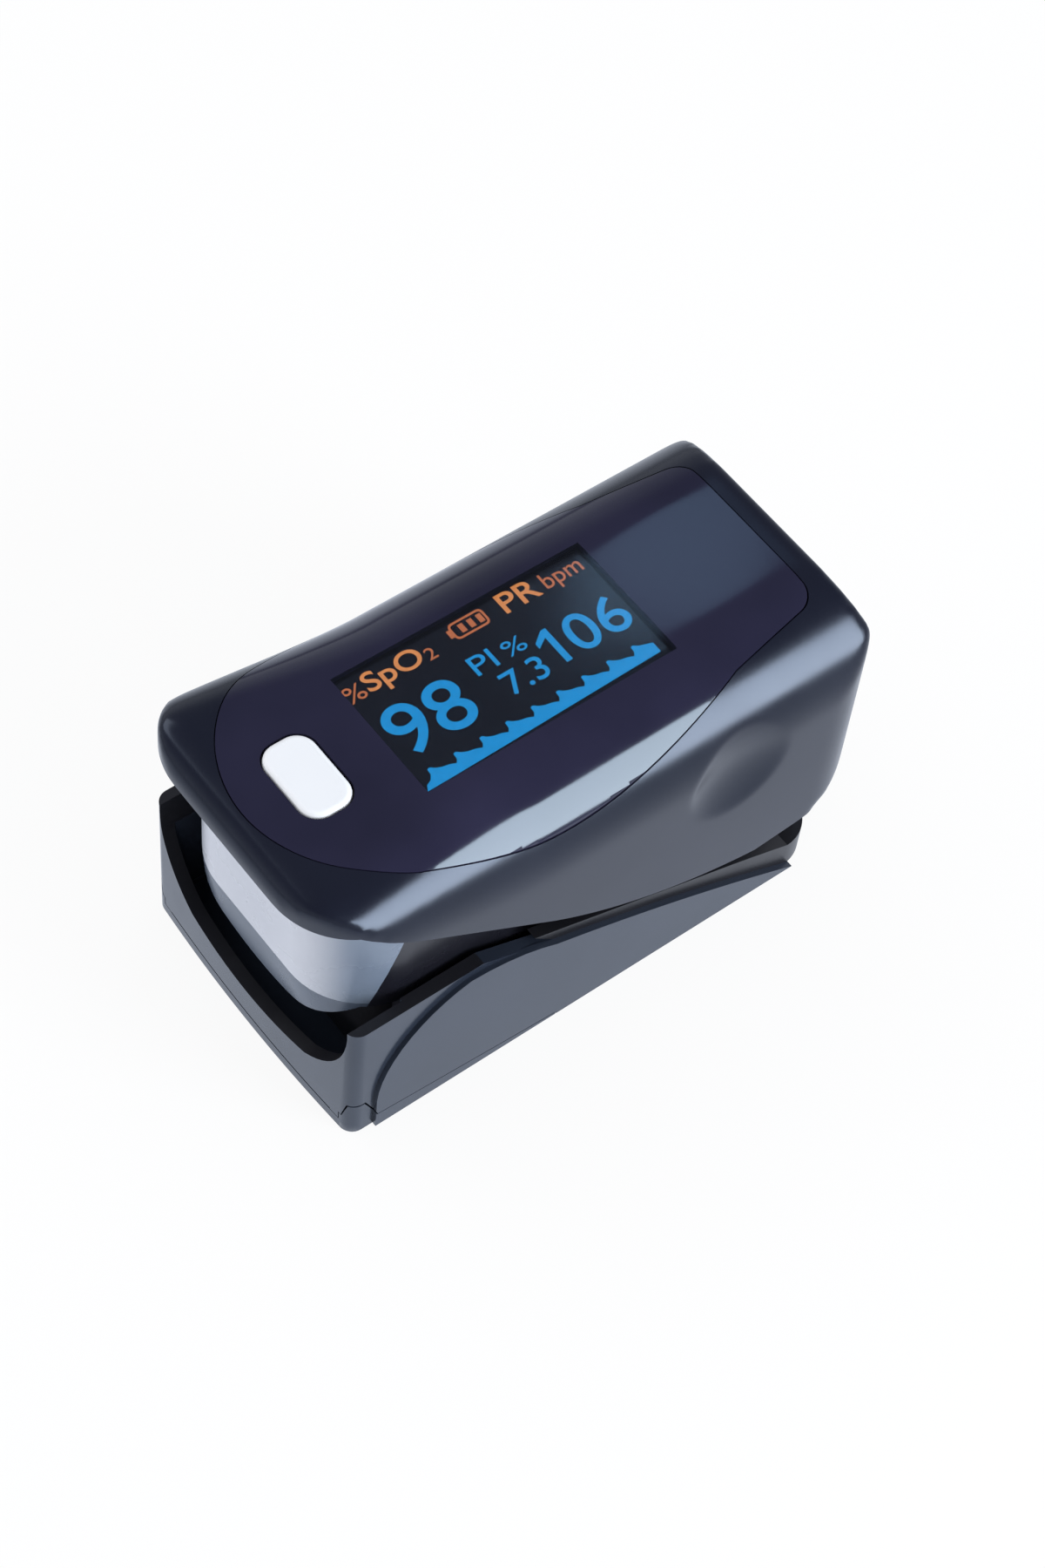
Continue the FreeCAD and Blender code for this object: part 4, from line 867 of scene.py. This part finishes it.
def shell_plan(grow):
    """Plan of the lower half, with a bowed front."""
    half, front, back = SHELL_HALF + grow, SHELL_FRONT - grow, SHELL_BACK + grow
    shoulder, corner = SHELL_FRONT + SHELL_BOW - grow, SHELL_CORNER + grow
    bend, rear_bend = corner * (1 - 0.5**0.5), TAIL_ROUND * (1 - 0.5**0.5)
    start = (shoulder, -half + corner)
    outline = [start] + arc(start, (front, 0), (shoulder, half - corner), 24)
    outline += arc(outline[-1], (shoulder + bend, half - bend), (shoulder + corner, half), 8)
    outline += [(back - TAIL_ROUND, half)]
    outline += arc(outline[-1], (back - rear_bend, half - rear_bend), (back, half - TAIL_ROUND), 8)
    outline += [(back, -half + TAIL_ROUND)]
    outline += arc(outline[-1], (back - rear_bend, -half + rear_bend), (back - TAIL_ROUND, -half), 8)
    outline += [(shoulder + corner, -half)]
    return outline + arc(outline[-1], (shoulder + bend, -half + bend), start, 8)[:-1]


TAB_LENGTH, DOOR_LENGTH = 3.2, 48.0


def door_block(name, gap):
    """The battery door, grown by a gap to cut its place in the shell."""
    front, spare = SHELL_FRONT - 2 * gap - 1, 10 * gap
    lip = [(front, -gap), (front, 2.35 + gap), (-5.0 + gap, 0.25 + gap), (-5.0 + gap, -gap)]
    lips = prism(name, lip, "Y", -30, 30)
    plan = prism("lip_plan", shell_plan(0.45 + spare), "Z", -2, 30)
    combine(plan, box("before_wing", (-60, -40, -3), (wing_start[0], 40, 31)))
    combine(plan, prism("nose_plan", shell_plan(spare), "Z", -2.0, 30.0), "UNION")
    combine(lips, plan, "INTERSECT", keep=True)
    tab_y, tab_top = 13.5 - gap, 4.3 + 2 * gap
    combine(lips, box("front_step", (-60, -tab_y, 1.2 + gap), (wing_start[0], tab_y, 30)))
    tab_back = SHELL_FRONT + SHELL_BOW + TAB_LENGTH + gap
    tab = [(front, 1.0), (front, tab_top), (tab_back - TAB_LENGTH / 2, tab_top), (tab_back, 1.0)]
    for side in (1, -1):
        brim = tab_top + 0.1
        post = [(side * tab_y, 0.9), (side * (tab_y + 0.9), brim), (side * 40, brim), (side * 40, 0.9)]
        tabs = prism("door_tab", tab, "Y", -30, 30)
        combine(tabs, prism("door_post", post, "X", front - 1, tab_back + 1), "INTERSECT")
        combine(tabs, plan, "INTERSECT", keep=True)
        combine(lips, tabs, "UNION")
    bpy.data.objects.remove(plan)
    if not gap:
        combine(lips, prism("door_hollow", shell_plan(-1.3), "Z", 1.2, 30))
    half = 12.2 + gap
    end = SHELL_FRONT + DOOR_LENGTH
    combine(lips, box("door_plate", (SHELL_FRONT + 3, -half, -gap), (end + gap, half, 1.2 + gap + 0.001)), "UNION")
    rail = box("door_rail", (end - 29.0 - gap, -half - 0.6, 0.5 - gap), (end + gap, half + 0.6, 0.9 + gap))
    return combine(lips, rail, "UNION")


side_view = [
    (SHELL_FRONT - 2, -1.0), (SHELL_FRONT - 2, 16.3), (-13.9, 16.3), WING_FALL,
    *arc(WING_FALL, WING_SWEEP, WING_END, 12), (WING_END[0] + 0.6, -1.0),
]
shell = prism("shell_outer", side_view, "Y", -30, 30)
shell.name = "lower_shell_body"
combine(shell, prism("shell_plan", shell_plan(0), "Z", 0.0, 40), "INTERSECT")
combine(shell, prism("shell_hollow", shell_plan(-1.3), "Z", 1.3, 40))
dip = [(14.0, 16.3), (14.0, 60.0), (-14.0, 60.0), (-14.0, 16.3)]
dip += arc((-14.0, 16.3), (-12.2, 9.4), (-8.6, 6.0), 12) + arc((-8.6, 6.0), (0.0, 4.8), (8.6, 6.0), 16)
dip += arc((8.6, 6.0), (12.2, 9.4), (14.0, 16.3), 12)[:-1]
combine(shell, prism("shell_dip", dip, "X", -40, -21.8))
wing_view = [
    (-24.9, -1.0), wing_start, *arc(wing_start, (-22.6, 10.9), WING_CROWN, 12),
    *arc(WING_CROWN, (WING_CROWN[0] + 4.3, WING_CROWN[1] - 0.6), WING_FALL, 5),
    *arc(WING_FALL, WING_SWEEP, WING_END, 12), (WING_END[0] + 0.6, -1.0),
]
for side in (1, -1):
    low, high = sorted((side * 6.0, side * 30))
    wing = prism("wing", wing_view, "Y", low, high)
    combine(wing, prism("wing_plan", shell_plan(0.45), "Z", 0.0, 40), "INTERSECT")
    combine(wing, prism("wing_back", shell_plan(-0.2), "Z", -3, 41))
    combine(shell, wing, "UNION")
combine(shell, box("shell_well", (SHELL_FRONT - 1, -12.3, -1), (40, 12.3, 1.4)))
combine(shell, door_block("door_place", 0.1))
tidy_mesh(shell, 0.01)
ease(shell, 0.16)

slate_gloss = moulded_plastic(
    "slate_gloss_abs", (0.017, 0.022, 0.034), (0.023, 0.029, 0.044), (0.16, 0.24), 0.0004, 0.000004,
    tint=(0.76, 0.86, 1.0), ior=1.5,
)
dip_painted_shade = moulded_plastic(
    "dip_painted_shade", (0.006, 0.006, 0.009), (0.010, 0.010, 0.014), (0.40, 0.50), 0.0004, 0.000004
)
finish_piece(shell, "lower_jaw", slate_gloss, stands_for=["lower_shell"])
shell.data.materials.append(dip_painted_shade)
# Near-black painted shade on faces of the dip and the walls behind it that point inward, upward or back.
for face in shell.data.polygons:
    middle, way = face.center / MM, face.normal
    within = abs(middle.y) < SHELL_HALF
    inward = within and way.y * middle.y < -0.5 * abs(middle.y)
    upward = within and way.z > 0.35
    if middle.z > 1.5 and middle.x < -12 and (inward or upward or way.x > 0.5):
        face.material_index = 1

# ---------------------------------------------------------------------------
# Battery door: slides forward off its rails. Its lip runs round the front foot
# and a small tab stands up at each front corner.
# ---------------------------------------------------------------------------

door = door_block("battery_door_slide", 0.0)
tidy_mesh(door, 0.01)
ease(door, 0.12)
finish_piece(door, "door", slate_gloss, stands_for=["battery_door"])

# ---------------------------------------------------------------------------
# Inner parts that keep the shape the frame gives them, each in its own finish.
# ---------------------------------------------------------------------------


def finish_node(material, *names):
    for name in names:
        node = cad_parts[name]
        node.data.materials.clear()
        node.data.materials.append(material)


black_frame = moulded_plastic(
    "black_frame_abs", (0.008, 0.008, 0.010), (0.012, 0.012, 0.015), (0.30, 0.40), 0.0003, 0.000006
)
finish_node(black_frame, "lower_frame", "power_switch")
finish_node(
    moulded_plastic("black_epoxy", (0.010, 0.010, 0.011), (0.016, 0.016, 0.018), (0.42, 0.55), 0.0002, 0.000006),
    "board_chips", "photodiode",
)
finish_node(
    moulded_plastic("grey_foam_tape", (0.10, 0.10, 0.11), (0.16, 0.16, 0.17), (0.85, 0.95), 0.0004, 0.00006),
    "display_tape",
)
solder_mask = moulded_plastic(
    "green_solder_mask", (0.010, 0.075, 0.035), (0.014, 0.10, 0.048), (0.25, 0.36), 0.0008, 0.00001
)
finish_node(solder_mask, "main_board", "sensor_board")
finish_node(
    moulded_plastic("red_lens_acrylic", (0.16, 0.010, 0.012), (0.22, 0.016, 0.018), (0.06, 0.12), 0.0006, 0.000002),
    "led_emitter", "emitter_lens", "sensor_lens",
)


def worked_metal(name, light, dark, rough, streak):
    """Bare metal: two close tones, a brushed grain along X and gloss that wanders."""
    material, tree, shader, where = new_material(name)
    stretch = add_node(tree, "ShaderNodeMapping")
    stretch.inputs["Scale"].default_value = (1, streak, streak)
    link(tree, where, stretch.inputs["Vector"])
    brushed = clouds(tree, stretch.outputs["Vector"], 900)
    link(tree, two_tone(tree, spread(tree, brushed, 0, 1), light, dark), shader.inputs["Base Color"])
    link(tree, spread(tree, brushed, *rough), shader.inputs["Roughness"])
    grain(tree, shader, brushed, 0.000004)
    shader.inputs["Metallic"].default_value = 1.0
    return material


steel = worked_metal("screw_steel", (0.56, 0.57, 0.58), (0.44, 0.45, 0.46), (0.24, 0.36), 3)
nickel = worked_metal("nickel_strip", (0.66, 0.64, 0.60), (0.55, 0.53, 0.49), (0.18, 0.30), 6)
finish_node(steel, "cover_screws", "frame_screws", "hinge_pin_left", "hinge_pin_right")
finish_node(nickel, "front_contact_plate", "rear_contact_plate", "battery_springs")

# ---------------------------------------------------------------------------
# Batteries: two AAA cells side by side, steel cans in a plain printed sleeve
# with a bare ring at each end.
# ---------------------------------------------------------------------------

sleeve, tree, shader, where = new_material("battery_sleeve")
split = add_node(tree, "ShaderNodeSeparateXYZ")
link(tree, where, split.inputs["Vector"])
cell_low, cell_high = limits("battery_left")
middle_x = (cell_low.x + cell_high.x) / 2 * MM
on_sleeve = inside(tree, split.outputs["X"], middle_x, 0.0207)
on_band = inside(tree, split.outputs["X"], middle_x + 0.0150, 0.0057)
can = two_tone(tree, spread(tree, clouds(tree, where, 900), 0, 1), (0.60, 0.60, 0.60), (0.50, 0.50, 0.50))
ink = two_tone(tree, spread(tree, clouds(tree, where, 120), 0, 1), (0.030, 0.034, 0.042), (0.040, 0.045, 0.055))
foil = two_tone(tree, spread(tree, clouds(tree, where, 300), 0, 1), (0.50, 0.30, 0.12), (0.42, 0.25, 0.10))
link(tree, pick(tree, on_sleeve, can, pick(tree, on_band, ink, foil)), shader.inputs["Base Color"])
link(tree, spread(tree, clouds(tree, where, 400), 0.22, 0.34), shader.inputs["Roughness"])
grain(tree, shader, clouds(tree, where, 2500), 0.000003)
shader.inputs["Metallic"].default_value = 0.8
finish_node(sleeve, "battery_left", "battery_right")

# ---------------------------------------------------------------------------
# Finger pads: two soft silicone blocks with a shared trough for the finger,
# glued to the ceiling and the floor, each with an opening for its lens.
# ---------------------------------------------------------------------------


def pad_block(name, node, ceiling, centre_z, trough_front):
    """Silicone pad: a side view pulled across, the finger's trough and the lens opening cut out."""
    low, high = limits(node)
    if ceiling:
        side = [(low.x, high.z), (low.x, high.z - 1.3), (0.0, low.z), (high.x, low.z), (high.x, high.z)]
    else:
        side = [(low.x, low.z), (low.x, high.z), (high.x, high.z), (high.x, low.z)]
    pad = prism(name, side, "Y", low.y, high.y)
    around = [math.tau * step / 96 for step in range(96)]
    ring = [(19.5 * math.cos(a), centre_z + 19.5 * math.sin(a)) for a in around]
    combine(pad, prism("finger_trough", ring, "X", trough_front, high.x + 2))
    combine(pad, box("lens_opening", (2.9, -3.1, low.z - 1), (9.1, 3.1, high.z + 1)))
    soften(pad, 0.4, 6)
    floor = (low + high) / 2
    for vertex in pad.data.vertices:
        for axis in range(3):
            vertex.co[axis] = min(max(vertex.co[axis], low[axis]), high[axis])
        across = 1 - min(abs(vertex.co.y - floor.y) / (high.y - floor.y), 1.0)
        vertex.co.z += (0.08 if ceiling else -0.08) * across * (1 if (vertex.co.z < floor.z) == ceiling else 0)
    return pad


silicone, tree, shader, where = new_material("finger_silicone")
tone = two_tone(tree, spread(tree, clouds(tree, where, 90), 0, 1), (0.030, 0.031, 0.034), (0.042, 0.043, 0.047))
link(tree, tone, shader.inputs["Base Color"])
link(tree, spread(tree, clouds(tree, where, 500), 0.52, 0.66), shader.inputs["Roughness"])
grain(tree, shader, clouds(tree, where, 4000, 2.0), 0.00002)
shader.inputs["Subsurface Weight"].default_value = 0.05
pad_low = limits("lower_finger_pad")[0]
roof_low, roof_high = limits("upper_finger_pad")
lower_pad = pad_block("lower_silicone_pad", "lower_finger_pad", False, 14.6 + 19.5, pad_low.x + 3.0)
finish_piece(lower_pad, "lower_jaw", silicone, smooth=60, stands_for=["lower_finger_pad"])
upper_pad = pad_block("upper_silicone_pad", "upper_finger_pad", True, roof_high.z - 1.3 - 19.5, roof_low.x - 1.0)
finish_piece(upper_pad, "upper_jaw", silicone, smooth=60, stands_for=["upper_finger_pad"])

# ---------------------------------------------------------------------------
# Jaw springs: two steel coils between the frame and the housing ceiling. They
# press the jaws shut on the finger.
# ---------------------------------------------------------------------------

for label in ("left", "right"):
    node = f"jaw_spring_{label}"
    low, high = limits(node)
    wire, height = 0.2, high.z - low.z
    middle = ((low.x + high.x) / 2, (low.y + high.y) / 2, low.z + wire)
    bpy.ops.object.select_all(action="DESELECT")
    bpy.ops.mesh.primitive_circle_add(
        vertices=10, radius=wire, fill_type="NGON", location=(1.5, 0, 0), rotation=(math.pi / 2, 0, 0)
    )
    coil = bpy.context.object
    coil.name = f"{node}_coil"
    bpy.ops.object.transform_apply(location=True, rotation=True, scale=True)
    turns = coil.modifiers.new("turns", "SCREW")
    turns.iterations = 6
    turns.screw_offset = (height - 2 * wire) / 6
    turns.steps = 36
    turns.render_steps = 36
    turns.use_merge_vertices = False
    bpy.ops.object.modifier_apply(modifier=turns.name)
    coil.location = middle
    bpy.ops.object.transform_apply(location=True, rotation=True, scale=True)
    bpy.ops.object.mode_set(mode="EDIT")
    bpy.ops.mesh.select_all(action="SELECT")
    bpy.ops.mesh.remove_doubles(threshold=0.001)
    bpy.ops.mesh.normals_make_consistent(inside=False)
    bpy.ops.object.mode_set(mode="OBJECT")
    finish_piece(coil, "lower_jaw", steel, smooth=60, stands_for=[node])
    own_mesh(coil)

# ---------------------------------------------------------------------------
# Ribbon cable: an amber film with copper tracks from the sensor board to the
# main board. It passes in front of the finger stop with a slight bow.
# ---------------------------------------------------------------------------

film_low, film_high = limits("flex_cable")
ribbon = box("ribbon_cable", film_low, film_high)
activate(ribbon)
bpy.ops.object.mode_set(mode="EDIT")
for step in range(1, 28):
    bpy.ops.mesh.select_all(action="SELECT")
    level_z = film_low.z + (film_high.z - film_low.z) * step / 28
    bpy.ops.mesh.bisect(plane_co=(0, 0, level_z), plane_no=(0, 0, 1))
bpy.ops.object.mode_set(mode="OBJECT")
for vertex in ribbon.data.vertices:
    share = min(max((vertex.co.z - 14.0) / 7.0, 0.0), 1.0)
    vertex.co.x += 0.25 * math.sin(math.pi * share) ** 2
film, tree, shader, where = new_material("polyimide_film")
split = add_node(tree, "ShaderNodeSeparateXYZ")
link(tree, where, split.inputs["Vector"])
tracks = add_node(tree, "ShaderNodeMath", operation="PINGPONG")
tracks.inputs[1].default_value = 0.0004
link(tree, split.outputs["Y"], tracks.inputs[0])
amber = two_tone(tree, spread(tree, clouds(tree, where, 200), 0, 1), (0.42, 0.16, 0.020), (0.34, 0.12, 0.014))
copper = two_tone(tree, spread(tree, clouds(tree, where, 900), 0, 1), (0.52, 0.24, 0.09), (0.45, 0.20, 0.07))
link(tree, pick(tree, above(tree, tracks.outputs["Value"], 0.0002), amber, copper), shader.inputs["Base Color"])
link(tree, spread(tree, clouds(tree, where, 600), 0.20, 0.34), shader.inputs["Roughness"])
grain(tree, shader, tracks.outputs["Value"], 0.00002)
finish_piece(ribbon, None, film, stands_for=["flex_cable"])
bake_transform(ribbon)
